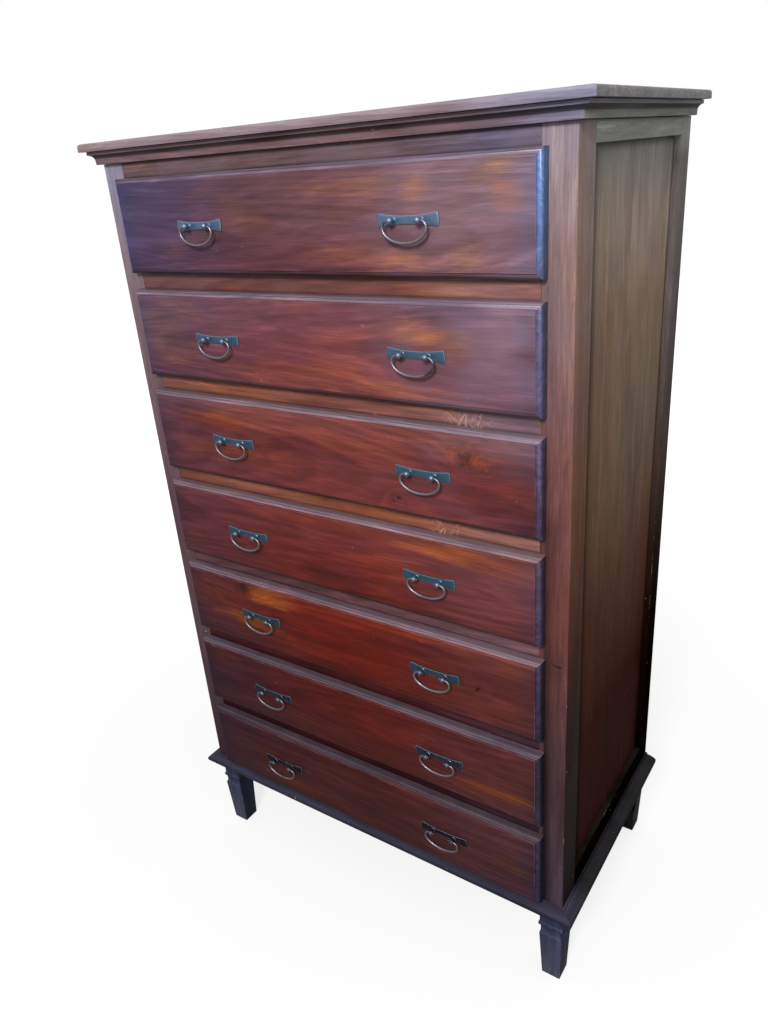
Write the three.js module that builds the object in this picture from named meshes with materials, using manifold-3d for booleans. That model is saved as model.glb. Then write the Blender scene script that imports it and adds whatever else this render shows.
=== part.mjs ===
import * as THREE from 'three';
import { mergeVertices } from 'three/addons/utils/BufferGeometryUtils.js';
import Module from 'manifold-3d';

// A tall chest with seven lipped drawers, one above the other, on four short tapered feet.
// Millimetres, Z up, the front looks along -Y. Inside the chest group x = 0 is the middle,
// y = 0 the front plane of the case and z = 0 the floor.

const wasm = await Module();
wasm.setup();

// Joinery
const seam = 0.3;                // glue line or seat between fixed pieces
const joinDepth = 2;             // how far boards of one glued piece run into each other
const cutOverrun = 5;            // how far a cutter runs past the wood

// Case
const caseWidth = 736;
const caseDepth = 406;
const postWidth = 40;            // posts seen from the front
const frontPostDepth = 47;       // front posts seen from the side
const rearPostDepth = 41;
const railDepth = 40;            // rails between the drawers, front to back
const sideRailThickness = 22;
const topSideRailHeight = 22.6;
const bottomSideRailHeight = 38;
const panelRecess = 9;           // side panel behind the face of its frame
const panelThickness = 8;
const grooveDepth = 8;           // groove in the front post that takes the panel's edge
const backThickness = 6;
const rabbetWidth = 12;          // rabbet in the rear posts that takes the back

// Top board, cornice and base
const topThickness = 11;
const topSideOverhang = 24.5;
const topFrontOverhang = 21.5;
const topNose = 4;               // width of the rounding along the top board's edge
const corniceHeight = 18;
const corniceSideReach = 15;
const corniceFrontReach = 14.7;
const baseThickness = 28.5;
const baseSideReach = 20;
const baseFrontReach = 17;

// Edge of the top board from the underside up: share of the nose inward, share of the thickness
const topNoseShares = [[0.35, 0], [0.08, 0.18], [0, 0.4], [0, 0.62], [0.15, 0.82], [0.45, 0.95], [1, 1]];
// Mouldings from the underside up: share of the reach, share of the height
const corniceShares = [[0.46, 0], [0.49, 0.3], [0.53, 0.42], [0.6, 0.52], [0.72, 0.62], [0.88, 0.7],
  [1, 0.74], [1, 1]];
const baseShares = [[0.42, 0], [0.45, 0.14], [0.6, 0.24], [0.85, 0.36], [1, 0.44], [1, 0.62],
  [0.93, 0.7], [0.7, 0.78], [0.45, 0.84], [0.22, 0.88], [0.16, 0.9], [0.16, 1]];

// Feet: setback is how far an outer face lies inside the face of the case, inset how far the inner
// one does. Under the base come a plain cap, a lip, a neck and the tapered body.
const footHeight = 143.3;
const footCapHeight = 24;
const footLipFlare = 2;          // slope from the cap out to the lip
const footLipHeight = 4.5;
const footNeckFlare = 4.8;       // slope from the lip in to the neck
const footNeckHeight = 9;
const footNeckRise = 5.5;        // slope from the neck out to the body
const footCapSetback = 2.5;
const footCapInset = 39.5;
const footLipSetback = 0.5;
const footLipInset = 41;
const footNeckSetback = 3.5;
const footNeckInset = 38;
const footBodySetback = 1;
const footBodyInset = 39.5;
const footSoleSetback = 5;
const footSoleInset = 36;
const dowelRadius = 9;
const dowelLength = 18;
const dowelSides = 10;

// Drawer fronts
const drawerCount = 7;
const frontHeight = 133;
const frontGap = 24.1;           // rail shown between two fronts
const topReveal = 20.8;          // case shown above the first front
const bottomReveal = 1.6;        // and below the last
const sideLap = 8;               // lip over the post
const edgeLap = 6;               // lip over the rail
const lipThickness = 16.4;
const mouldWidth = 7.5;          // moulding round the lip
const tongueDepth = 8;           // part of the front that enters the opening
const tongueSideClearance = 2;
const tongueEdgeClearance = 1.5;
// From the lip's back edge to the face: share of the moulding's width, share of the lip's thickness
const frontMouldShares = [[0, 0], [0, 0.5], [0.08, 0.64], [0.3, 0.76], [0.62, 0.84], [0.88, 0.87], [1, 1]];

// Drawer boxes and their runners
const boxSideClearance = 5;
const boxTopClearance = 8;
const boxRearClearance = 20;
const runClearance = 0.3;        // drawer side above its runner
const boxSideThickness = 11;
const boxBackThickness = 11;
const boxBottomThickness = 5;
const boxBottomRise = 9;         // drawer bottom above the lower edge of the sides
const runnerBearing = 15;        // how far a runner reaches under the drawer side
const guideClearance = 1.5;
const guideHeight = 12;

// Handles
const handleSpacing = 340;       // between the middles of the two handles of a drawer
const plateLength = 82;
const plateEndHeight = 17;
const plateWaistHeight = 9.6;
const plateThickness = 1.6;
const plateEndBulge = 1.2;
const plateWaistShare = 0.16;    // share of the half length along which the waist runs straight
const plateArcSteps = 4;
const postSpacing = 38;
const postReach = 7.8;           // bail's axis in front of the plate
const ballRadius = 4.4;
const neckRadius = 2.2;
const nutRadius = 4.6;
const nutThickness = 3.2;
const postSides = 8;
const boreClearance = 0.4;
const boreSides = 6;
const wireRadius = 1.9;
const bailHalfWidth = 30;        // all bail sizes are to the middle of the wire
const bailDrop = 25;
const shoulderRadius = 8;
const stubReach = 5.5;           // wire from the middle of the ball to its inner end
const wireSides = 6;
const bailSteps = 24;
// Ball outline from its tip back: share of the radius across, share of the radius along
const ballShares = [[0, -1], [0.7, -0.72], [1, 0], [0.78, 0.62]];

// Finishes
const finishes = {
  caseWood: { color: 0x6b4236, roughness: 0.45, metalness: 0 },
  frontWood: { color: 0x74402f, roughness: 0.4, metalness: 0 },
  panelWood: { color: 0x5e4a38, roughness: 0.5, metalness: 0 },
  baseWood: { color: 0x322c38, roughness: 0.45, metalness: 0 },
  rawWood: { color: 0xa08262, roughness: 0.75, metalness: 0 },
  iron: { color: 0x4c6072, roughness: 0.45, metalness: 0.8 },
};

// Heights and places worked out from the sizes above
const drawerPitch = frontHeight + frontGap;
const caseHeight = topReveal + drawerCount * frontHeight + (drawerCount - 1) * frontGap + bottomReveal;
const baseBottom = footHeight + seam;
const baseTop = baseBottom + baseThickness;
const caseBottom = baseTop + seam;
const caseTop = caseBottom + caseHeight;
const corniceBottom = caseTop + seam;
const topBottom = corniceBottom + corniceHeight + seam;
const halfCase = caseWidth / 2;
const halfOpening = halfCase - postWidth;
const openingHeight = frontHeight - 2 * edgeLap;
const frontWidth = 2 * (halfOpening + sideLap);
const railHeight = frontGap + 2 * edgeLap;
const panelOuter = halfCase - panelRecess;
const panelInner = panelOuter - panelThickness;
const rearPostFront = caseDepth - rearPostDepth;
const backFront = caseDepth - backThickness;
const lipFace = -(seam + lipThickness);
const boxHalfWidth = halfOpening - boxSideClearance;
const boxStart = tongueDepth + seam;
const boxEnd = backFront - seam - boxRearClearance;
const bailAxis = -(seam + plateThickness + postReach);
const footMiddle = (footCapInset + footCapSetback) / 2;
const footCapBottom = footHeight - footCapHeight;
const footLipTop = footCapBottom - footLipFlare;
const footLipBottom = footLipTop - footLipHeight;
const footNeckTop = footLipBottom - footNeckFlare;
const footNeckBottom = footNeckTop - footNeckHeight;
const footBodyHeight = footNeckBottom - footNeckRise;
const nutBack = -lipFace + tongueDepth + seam + nutThickness;
const wholeFront = lipFace + bailAxis - ballRadius;

const drawerMiddle = (row) => caseTop - topReveal - frontHeight / 2 - row * drawerPitch;
const flatToFlat = (radius, sides) => radius / Math.cos(Math.PI / sides);

// Solids and prisms

function toSolid(geometry) {
  const plain = geometry.clone();
  plain.deleteAttribute('normal');
  plain.deleteAttribute('uv');
  const merged = mergeVertices(plain);
  const mesh = new wasm.Mesh({
    numProp: 3,
    vertProperties: new Float32Array(merged.attributes.position.array),
    triVerts: new Uint32Array(merged.index.array),
  });
  return new wasm.Manifold(mesh);
}

function toGeometry(solid) {
  const mesh = solid.getMesh();
  const geometry = new THREE.BufferGeometry();
  geometry.setAttribute('position', new THREE.BufferAttribute(mesh.vertProperties, mesh.numProp));
  geometry.setIndex(new THREE.BufferAttribute(mesh.triVerts, 1));
  geometry.computeVertexNormals();
  return geometry;
}

function extrude(points, length) {
  const shape = new THREE.Shape(points.map(([x, y]) => new THREE.Vector2(x, y)));
  return new THREE.ExtrudeGeometry(shape, { depth: length, bevelEnabled: false, steps: 1 });
}

const axisX = new THREE.Vector3(1, 0, 0);
const axisY = new THREE.Vector3(0, 1, 0);
const axisZ = new THREE.Vector3(0, 0, 1);

// An (x, y) outline that stands up from zStart to zEnd
function prismAlongZ(points, zStart, zEnd) {
  return toSolid(extrude(points, zEnd - zStart).translate(0, 0, zStart));
}

// An (x, z) outline that runs back from yStart to yEnd
function prismAlongY(points, yStart, yEnd) {
  const geometry = extrude(points, yEnd - yStart);
  geometry.applyMatrix4(new THREE.Matrix4().makeBasis(axisX, axisZ, axisY.clone().negate()));
  return toSolid(geometry.translate(0, yEnd, 0));
}

// A (y, z) outline that runs across from xStart to xEnd
function prismAlongX(points, xStart, xEnd) {
  const geometry = extrude(points, xEnd - xStart);
  geometry.applyMatrix4(new THREE.Matrix4().makeBasis(axisY, axisZ, axisX));
  return toSolid(geometry.translate(xStart, 0, 0));
}

function block([x0, x1], [y0, y1], [z0, z1]) {
  const width = Math.abs(x1 - x0);
  const geometry = new THREE.BoxGeometry(width, y1 - y0, z1 - z0);
  return toSolid(geometry.translate((x0 + x1) / 2, (y0 + y1) / 2, (z0 + z1) / 2));
}

// A round bar, parallel to Y or Z, that a hole or dowel is made from
function barAlongY(radius, sides, x, z, yStart, yEnd) {
  const geometry = new THREE.CylinderGeometry(radius, radius, yEnd - yStart, sides);
  return toSolid(geometry.translate(x, (yStart + yEnd) / 2, z));
}

function barAlongZ(radius, sides, x, y, zStart, zEnd) {
  const geometry = new THREE.CylinderGeometry(radius, radius, zEnd - zStart, sides);
  return toSolid(geometry.rotateX(Math.PI / 2).translate(x, y, (zStart + zEnd) / 2));
}

function barAlongX(radius, sides, y, z, xStart, xEnd) {
  const geometry = new THREE.CylinderGeometry(radius, radius, xEnd - xStart, sides);
  return toSolid(geometry.rotateZ(Math.PI / 2).translate((xStart + xEnd) / 2, y, z));
}

// A board whose edge outline runs round the front and both sides, mitred, and stops flush at the back.
// The outline is a function of the reach that gives points from the underside up: [outward, z].
function mouldedBoard(outline, sideReach, frontReach) {
  const right = outline(sideReach).map(([outward, z]) => [halfCase + outward, z]);
  const left = right.map(([x, z]) => [-x, z]).reverse();
  const across = prismAlongY([...right, ...left], -frontReach - cutOverrun, caseDepth);
  const front = outline(frontReach).map(([outward, z]) => [-outward, z]);
  const underside = front[0][1];
  const upperFace = front[front.length - 1][1];
  const profile = [...front, [caseDepth, upperFace], [caseDepth, underside]];
  const half = halfCase + sideReach + cutOverrun;
  return across.intersect(prismAlongX(profile, -half, half));
}

function mouldOutline(shares, bottom, height) {
  return (reach) => shares.map(([out, rise]) => [out * reach, bottom + rise * height]);
}

// Case

function topBoard() {
  const outline = (reach) => topNoseShares.map(([inward, rise]) => [
    reach - inward * topNose,
    topBottom + rise * topThickness,
  ]);
  return mouldedBoard(outline, topSideOverhang, topFrontOverhang);
}

// The cornice board carries the top front rail on its underside
function cornice() {
  const outline = mouldOutline(corniceShares, corniceBottom, corniceHeight);
  const board = mouldedBoard(outline, corniceSideReach, corniceFrontReach);
  const railBottom = caseTop - topReveal - edgeLap;
  const railHalf = halfOpening - seam;
  return board.add(block([-railHalf, railHalf], [0, railDepth], [railBottom, corniceBottom + joinDepth]));
}

// The base board carries the low rail under the last drawer, and has a socket for each foot's dowel
function baseBoard() {
  const outline = mouldOutline(baseShares, baseBottom, baseThickness);
  const board = mouldedBoard(outline, baseSideReach, baseFrontReach);
  const railTop = caseBottom + bottomReveal + edgeLap;
  const railHalf = halfOpening - seam;
  let solid = board.add(block([-railHalf, railHalf], [0, railDepth], [baseTop - joinDepth, railTop]));
  const socketRadius = flatToFlat(dowelRadius + seam, dowelSides);
  const socketTop = footHeight + dowelLength + seam;
  for (const side of [-1, 1]) {
    for (const y of [footMiddle, caseDepth - footMiddle]) {
      const x = side * (halfCase - footMiddle);
      solid = solid.subtract(barAlongZ(socketRadius, dowelSides, x, y, baseBottom - cutOverrun, socketTop));
    }
  }
  return solid;
}

// A square tapered foot with a cap, a lip and a neck, and a dowel on top
function foot(side, rear) {
  const rows = [
    [0, footSoleSetback, footSoleInset],
    [footBodyHeight, footBodySetback, footBodyInset],
    [footNeckBottom, footNeckSetback, footNeckInset],
    [footNeckTop, footNeckSetback, footNeckInset],
    [footLipBottom, footLipSetback, footLipInset],
    [footLipTop, footLipSetback, footLipInset],
    [footCapBottom, footCapSetback, footCapInset],
    [footHeight, footCapSetback, footCapInset],
  ];
  const acrossX = (offset) => side * (halfCase - offset);
  const alongY = (offset) => (rear ? caseDepth - offset : offset);
  const outline = (place) => [
    ...rows.map(([z, setback]) => [place(setback), z]),
    ...rows.map(([z, , inset]) => [place(inset), z]).reverse(),
  ];
  const middleX = side * (halfCase - footMiddle);
  const middleY = alongY(footMiddle);
  const spread = footLipInset - footLipSetback;
  const facing = prismAlongY(outline(acrossX), middleY - spread, middleY + spread);
  const flank = prismAlongX(outline(alongY), middleX - spread, middleX + spread);
  const dowel = barAlongZ(dowelRadius, dowelSides, middleX, middleY, footHeight - joinDepth,
    footHeight + dowelLength);
  return facing.intersect(flank).add(dowel);
}

function frontPost(side) {
  const inner = side * halfOpening;
  const outer = side * halfCase;
  const grooveOuter = side * (panelOuter + seam);
  const grooveInner = side * (panelInner - seam);
  const grooveFloor = frontPostDepth - grooveDepth;
  const section = [
    [inner, 0], [outer, 0], [outer, frontPostDepth],
    [grooveOuter, frontPostDepth], [grooveOuter, grooveFloor],
    [grooveInner, grooveFloor], [grooveInner, frontPostDepth],
    [inner, frontPostDepth],
  ];
  return prismAlongZ(section, caseBottom, caseTop);
}

// A runner with its guide: the drawer side slides on the low ledge, beside the high one
function runner(side, row) {
  const seat = drawerMiddle(row) - openingHeight / 2;
  const foundation = Math.max(seat - railHeight, caseBottom);
  const ledgeInner = side * (boxHalfWidth - runnerBearing);
  const guideInner = side * (boxHalfWidth + guideClearance);
  const outer = side * (panelInner + joinDepth);
  const section = [
    [ledgeInner, foundation], [outer, foundation], [outer, seat + guideHeight],
    [guideInner, seat + guideHeight], [guideInner, seat], [ledgeInner, seat],
  ];
  return prismAlongY(section, frontPostDepth + seam, rearPostFront + joinDepth);
}

// A framed side: rear post, upper and lower rail, panel and the seven runners on its inner face
function sidePanel(side) {
  const inner = side * halfOpening;
  const outer = side * halfCase;
  const rabbetOuter = side * (halfOpening + rabbetWidth);
  const rabbetFront = backFront - seam;
  const postSection = [
    [inner, rearPostFront], [outer, rearPostFront], [outer, caseDepth],
    [rabbetOuter, caseDepth], [rabbetOuter, rabbetFront], [inner, rabbetFront],
  ];
  let solid = prismAlongZ(postSection, caseBottom, caseTop);
  const railAcross = [side * (halfCase - sideRailThickness), outer];
  const railAlong = [frontPostDepth + seam, rearPostFront + joinDepth];
  solid = solid.add(block(railAcross, railAlong, [caseTop - topSideRailHeight, caseTop]));
  solid = solid.add(block(railAcross, railAlong, [caseBottom, caseBottom + bottomSideRailHeight]));
  const panelAcross = [side * panelInner, side * panelOuter];
  const panelAlong = [frontPostDepth - grooveDepth + seam, rearPostFront + joinDepth];
  const panelUp = [caseBottom + joinDepth, caseTop - joinDepth];
  solid = solid.add(block(panelAcross, panelAlong, panelUp));
  for (let row = 0; row < drawerCount; row += 1) {
    solid = solid.add(runner(side, row));
  }
  return solid;
}

function backPanel() {
  const half = halfOpening + rabbetWidth - seam;
  return block([-half, half], [backFront, caseDepth], [caseBottom, caseTop]);
}

function drawerRail(row) {
  const bottom = drawerMiddle(row) - openingHeight / 2 - railHeight;
  const half = halfOpening - seam;
  return block([-half, half], [0, railDepth], [bottom, bottom + railHeight]);
}

// Drawers, about the middle of their front

// Half outline of a front: tongue in the opening, lip, moulding, face
function frontOutline(halfSize, halfTongue) {
  const tongue = [[halfTongue, tongueDepth], [halfTongue, -seam]];
  const lip = frontMouldShares.map(([inward, forward]) => [
    halfSize - inward * mouldWidth,
    -seam - forward * lipThickness,
  ]);
  const half = [...tongue, ...lip];
  const other = half.map(([across, y]) => [-across, y]).reverse();
  return [...half, ...other];
}

function drawerFront() {
  const across = frontOutline(frontWidth / 2, halfOpening - tongueSideClearance);
  const upright = frontOutline(frontHeight / 2, openingHeight / 2 - tongueEdgeClearance);
  const plan = prismAlongZ(across, -frontHeight, frontHeight);
  const flank = prismAlongX(upright.map(([z, y]) => [y, z]), -frontWidth, frontWidth);
  let solid = plan.intersect(flank);
  const holeRadius = flatToFlat(neckRadius + boreClearance, postSides);
  for (const handle of [-1, 1]) {
    for (const post of [-1, 1]) {
      const x = (handle * handleSpacing + post * postSpacing) / 2;
      const hole = barAlongY(holeRadius, postSides, x, 0, lipFace - cutOverrun, tongueDepth + cutOverrun);
      solid = solid.subtract(hole);
    }
  }
  return solid;
}

// Two sides, a back and a bottom, open at the top and closed in front by the drawer front
function drawerBox() {
  const low = -openingHeight / 2 + runClearance;
  const high = openingHeight / 2 - boxTopClearance;
  const inner = boxHalfWidth - boxSideThickness;
  const backInner = boxEnd - boxBackThickness;
  const bottomLow = low + boxBottomRise;
  const bottomHigh = bottomLow + boxBottomThickness;
  const whole = block([-boxHalfWidth, boxHalfWidth], [boxStart, boxEnd], [low, high]);
  const open = [boxStart - cutOverrun, backInner];
  const inside = block([-inner, inner], open, [bottomHigh, high + cutOverrun]);
  const under = block([-inner, inner], open, [low - cutOverrun, bottomLow]);
  return whole.subtract(inside).subtract(under);
}

// Handles, about the middle of the plate on the drawer's face

// Upper edge of the plate from its middle out to the end, hollow between waist and end
function plateEdge() {
  const points = [];
  for (let step = 0; step <= plateArcSteps; step += 1) {
    const along = step / plateArcSteps;
    const x = (plateWaistShare + (1 - plateWaistShare) * along) * plateLength / 2;
    const z = plateWaistHeight / 2 + (plateEndHeight - plateWaistHeight) / 2 * along * along;
    points.push([x, z]);
  }
  return points;
}

function handlePlate() {
  const upper = plateEdge();
  const lower = upper.map(([x, z]) => [x, -z]).reverse();
  const rightHalf = [...upper, [plateLength / 2 + plateEndBulge, 0], ...lower];
  const leftHalf = rightHalf.map(([x, z]) => [-x, -z]);
  let solid = prismAlongY([...rightHalf, ...leftHalf], -(seam + plateThickness), -seam);
  const profile = [
    ...ballShares.map(([across, along]) => [across * ballRadius, bailAxis + along * ballRadius]),
    [neckRadius, bailAxis + ballRadius],
    [neckRadius, nutBack - nutThickness],
    [nutRadius, nutBack - nutThickness],
    [nutRadius, nutBack],
    [0, nutBack],
  ];
  const points = profile.map(([radius, y]) => new THREE.Vector2(radius, y));
  for (const side of [-1, 1]) {
    const post = new THREE.LatheGeometry(points, postSides).translate(side * postSpacing / 2, 0, 0);
    solid = solid.add(toSolid(post));
  }
  const boreRadius = flatToFlat(wireRadius + boreClearance, boreSides);
  for (const side of [-1, 1]) {
    const middle = side * postSpacing / 2;
    const reach = ballRadius + cutOverrun;
    solid = solid.subtract(barAlongX(boreRadius, boreSides, bailAxis, 0, middle - reach, middle + reach));
  }
  return solid;
}

// The bail hangs down from its axis: stubs through the balls, round shoulders, a half oval below
class BailCurve extends THREE.Curve {
  getPoint(t, target = new THREE.Vector3()) {
    const side = t < 0.5 ? -1 : 1;
    const stub = stubReach + (bailHalfWidth - shoulderRadius - postSpacing / 2);
    const shoulder = shoulderRadius * Math.PI / 2;
    const ovalDrop = bailDrop - shoulderRadius;
    const oval = Math.PI / 2 * Math.sqrt((bailHalfWidth ** 2 + ovalDrop ** 2) / 2);
    const travelled = (1 - Math.abs(2 * t - 1)) * (stub + shoulder + oval);
    const shoulderX = bailHalfWidth - shoulderRadius;
    if (travelled < stub) {
      return target.set(side * (postSpacing / 2 - stubReach + travelled), 0, 0);
    }
    if (travelled < stub + shoulder) {
      const turn = (travelled - stub) / shoulderRadius;
      const x = shoulderX + shoulderRadius * Math.sin(turn);
      return target.set(side * x, 0, shoulderRadius * (Math.cos(turn) - 1));
    }
    const angle = (travelled - stub - shoulder) / oval * Math.PI / 2;
    const z = -shoulderRadius - ovalDrop * Math.sin(angle);
    return target.set(side * bailHalfWidth * Math.cos(angle), 0, z);
  }
}

function bail() {
  const section = [];
  for (let corner = 0; corner < wireSides; corner += 1) {
    const angle = 2 * Math.PI * corner / wireSides;
    section.push(new THREE.Vector2(wireRadius * Math.cos(angle), wireRadius * Math.sin(angle)));
  }
  const options = { steps: bailSteps, bevelEnabled: false, extrudePath: new BailCurve() };
  return toSolid(new THREE.ExtrudeGeometry(new THREE.Shape(section), options));
}

// Assembly

const chest = new THREE.Group();
chest.position.y = -(wholeFront + caseDepth) / 2;

function place(parent, name, solid, finish) {
  const material = new THREE.MeshStandardMaterial({ ...finishes[finish], flatShading: true });
  const mesh = new THREE.Mesh(toGeometry(solid), material);
  mesh.name = name;
  parent.add(mesh);
}

const sideNames = { '-1': 'left', 1: 'right' };

place(chest, 'top_board', topBoard(), 'caseWood');
place(chest, 'cornice', cornice(), 'caseWood');
place(chest, 'base_board', baseBoard(), 'baseWood');
place(chest, 'back_panel', backPanel(), 'rawWood');
for (const side of [-1, 1]) {
  place(chest, `front_post_${sideNames[side]}`, frontPost(side), 'caseWood');
  place(chest, `side_panel_${sideNames[side]}`, sidePanel(side), 'panelWood');
  place(chest, `foot_front_${sideNames[side]}`, foot(side, false), 'baseWood');
  place(chest, `foot_rear_${sideNames[side]}`, foot(side, true), 'baseWood');
}
for (let row = 0; row < drawerCount - 1; row += 1) {
  place(chest, `drawer_rail_${row + 1}`, drawerRail(row), 'caseWood');
}

const frontSolid = drawerFront();
const boxSolid = drawerBox();
const plateSolid = handlePlate();
const bailSolid = bail();

for (let row = 0; row < drawerCount; row += 1) {
  const drawer = new THREE.Group();
  drawer.position.z = drawerMiddle(row);
  chest.add(drawer);
  place(drawer, `drawer_front_${row + 1}`, frontSolid, 'frontWood');
  place(drawer, `drawer_box_${row + 1}`, boxSolid, 'rawWood');
  for (const side of [-1, 1]) {
    const handle = new THREE.Group();
    handle.position.set(side * handleSpacing / 2, lipFace, 0);
    drawer.add(handle);
    place(handle, `handle_plate_${row + 1}_${sideNames[side]}`, plateSolid, 'iron');
    const swing = new THREE.Group();
    swing.position.y = bailAxis;
    handle.add(swing);
    place(swing, `bail_${row + 1}_${sideNames[side]}`, bailSolid, 'iron');
  }
}

export default chest;
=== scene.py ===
import math

import bmesh
import bpy
from mathutils import Matrix, Vector


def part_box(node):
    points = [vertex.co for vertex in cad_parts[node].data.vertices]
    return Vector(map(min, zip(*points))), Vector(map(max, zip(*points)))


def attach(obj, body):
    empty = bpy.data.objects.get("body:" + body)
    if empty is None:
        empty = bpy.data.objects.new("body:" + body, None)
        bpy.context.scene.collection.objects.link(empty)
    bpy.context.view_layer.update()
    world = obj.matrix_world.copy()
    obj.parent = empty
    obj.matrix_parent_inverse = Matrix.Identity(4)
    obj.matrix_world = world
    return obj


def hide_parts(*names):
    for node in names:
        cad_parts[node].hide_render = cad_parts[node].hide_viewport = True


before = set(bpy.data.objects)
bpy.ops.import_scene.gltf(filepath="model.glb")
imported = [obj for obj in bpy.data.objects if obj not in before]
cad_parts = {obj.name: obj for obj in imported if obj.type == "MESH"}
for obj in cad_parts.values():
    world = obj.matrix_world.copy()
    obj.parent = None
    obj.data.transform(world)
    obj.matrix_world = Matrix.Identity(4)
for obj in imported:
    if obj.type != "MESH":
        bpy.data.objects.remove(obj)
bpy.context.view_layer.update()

# A tall chest with seven lipped drawers in varnished reddish wood, on a dark moulded base.
# Metres, Z up, the front looks along -Y. Every piece stands where its solid stands in the frame.

postLow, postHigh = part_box("front_post_right")
caseFront = postLow.y
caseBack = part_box("back_panel")[1].y
caseBottom = postLow.z
caseTop = postHigh.z
halfCase = postHigh.x
halfOpening = postLow.x
caseHeight = 1.3  # from the floor to the top, which the tones are spread over
frontLow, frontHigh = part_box("drawer_front_1")
frontMiddle = (frontLow.z + frontHigh.z) / 2
rows = range(1, 8)
sides = {"left": -1, "right": 1}
glueLine = 0.0003  # between fixed neighbours
touch = 0.0001  # between pieces of one solid


# Working in edit mode: tests take a middle and a way, of a face or of an edge

def makeActive(piece):
    bpy.ops.object.select_all(action="DESELECT")
    piece.select_set(True)
    bpy.context.view_layer.objects.active = piece


def openEdit(piece, kind):
    makeActive(piece)
    bpy.ops.object.mode_set(mode="EDIT")
    bpy.ops.mesh.select_mode(type=kind)
    bpy.ops.mesh.select_all(action="DESELECT")


def closeEdit():
    bpy.ops.object.mode_set(mode="OBJECT")


def runsAlong(axis):
    return lambda middle, way: abs(way["xyz".index(axis)]) > 0.9


def liesAt(axis, place):
    return lambda middle, way: near(middle["xyz".index(axis)], place)


def faceOutward(piece):
    openEdit(piece, "FACE")
    bpy.ops.mesh.select_all(action="SELECT")
    bpy.ops.mesh.normals_make_consistent(inside=False)
    closeEdit()


def pickFaces(piece, test):
    openEdit(piece, "FACE")
    shape = bmesh.from_edit_mesh(piece.data)
    for face in shape.faces:
        face.select_set(test(face.calc_center_median(), face.normal))
    bmesh.update_edit_mesh(piece.data)


def pickEdges(piece, test):
    openEdit(piece, "EDGE")
    shape = bmesh.from_edit_mesh(piece.data)
    for edge in shape.edges:
        start, end = (corner.co for corner in edge.verts)
        if test((start + end) / 2, (end - start).normalized()):
            edge.select_set(True)
    bmesh.update_edit_mesh(piece.data)


def pushOut(offset):
    bpy.ops.mesh.extrude_region_move(TRANSFORM_OT_translate={"value": offset})


# Marks faces for the finishes, which read them as worn arrises, mouldings, end grain, or painted
# highlights and shade
def markFaces(piece, mark, value, test):
    marks = piece.data.attributes.get(mark) or piece.data.attributes.new(mark, "FLOAT", "CORNER")
    for face in piece.data.polygons:
        if test(face):
            for corner in face.loop_indices:
                marks.data[corner].value = value


def near(value, target):
    return abs(value - target) < 0.0002


# Starting shapes

def named(piece, name):
    piece.name = name
    piece.data.name = name
    return piece


def newObject(name, data):
    piece = bpy.data.objects.new(name, data)
    bpy.context.scene.collection.objects.link(piece)
    return piece


def addSolid(add, **settings):
    bpy.ops.object.select_all(action="DESELECT")
    add(**settings)
    bpy.ops.object.transform_apply(location=True, rotation=True, scale=True)
    return bpy.context.object


def addBlock(name, low, high):
    low = Vector(low)
    high = Vector(high)
    return named(addSolid(bpy.ops.mesh.primitive_cube_add, size=1, location=(low + high) / 2,
                          scale=high - low), name)


# A cylinder round a middle, along x, y or z
def addRod(middle, axis, radius, length, corners):
    turns = {"x": (0, math.pi / 2, 0), "y": (math.pi / 2, 0, 0), "z": (0, 0, 0)}
    return addSolid(bpy.ops.mesh.primitive_cylinder_add, vertices=corners, radius=radius, depth=length,
                    location=middle, rotation=turns[axis])


# An outline in the plane across the axis, drawn out from start to end
def addBar(name, outline, axis, start, end):
    bpy.ops.object.select_all(action="DESELECT")
    bpy.ops.mesh.primitive_circle_add(vertices=len(outline), fill_type="NGON")
    piece = named(bpy.context.object, name)
    for vertex, (first, second) in zip(piece.data.vertices, outline):
        corner = [first, second]
        corner.insert("xyz".index(axis), start)
        vertex.co = corner
    openEdit(piece, "FACE")
    bpy.ops.mesh.select_all(action="SELECT")
    offset = [0, 0, 0]
    offset["xyz".index(axis)] = end - start
    pushOut(offset)
    closeEdit()
    faceOutward(piece)
    return piece


# Cuts a piece with a plane and keeps what lies behind the plane's normal
def cutOff(piece, point, normal):
    openEdit(piece, "FACE")
    bpy.ops.mesh.select_all(action="SELECT")
    bpy.ops.mesh.bisect(plane_co=point, plane_no=normal, use_fill=True, clear_outer=True)
    closeEdit()


# Rounds the selected edges, and marks the narrow new faces as a worn arris
def roundPicked(piece, width, segments):
    bpy.ops.mesh.bevel(offset=width, segments=segments, affect="EDGES")
    closeEdit()

    def isNarrow(face):
        places = [piece.data.vertices[index].co for index in face.vertices]
        around = sum((here - there).length for here, there in zip(places, places[1:] + places[:1]))
        return face.area < 0.8 * width * around  # far less than a strip as long and as wide would have

    markFaces(piece, "worn", 1.0, lambda face: face.select and isNarrow(face))


def roundEdges(piece, width, segments, test):
    pickEdges(piece, test)
    roundPicked(piece, width, segments)


def roundAll(piece, width, segments=2):
    roundEdges(piece, width, segments, lambda middle, way: True)


# Boards side by side along an axis, with their long edges eased
def addBoards(name, low, high, axis, count, seam, test, ways, board):
    boards = []
    width = (high[axis] - low[axis]) / count
    for place in range(count):
        start = list(low)
        end = list(high)
        start[axis] = low[axis] + place * width
        end[axis] = low[axis] + (place + 1) * width
        strip = addBlock(name, start, end)
        roundEdges(strip, seam, 1, test)
        boards.append(layGrain(strip, ways, board + place))
    return boards


def joinPieces(name, pieces):
    bpy.ops.object.select_all(action="DESELECT")
    for piece in pieces:
        piece.select_set(True)
    bpy.context.view_layer.objects.active = pieces[0]
    bpy.ops.object.join()
    return named(bpy.context.object, name)


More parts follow.
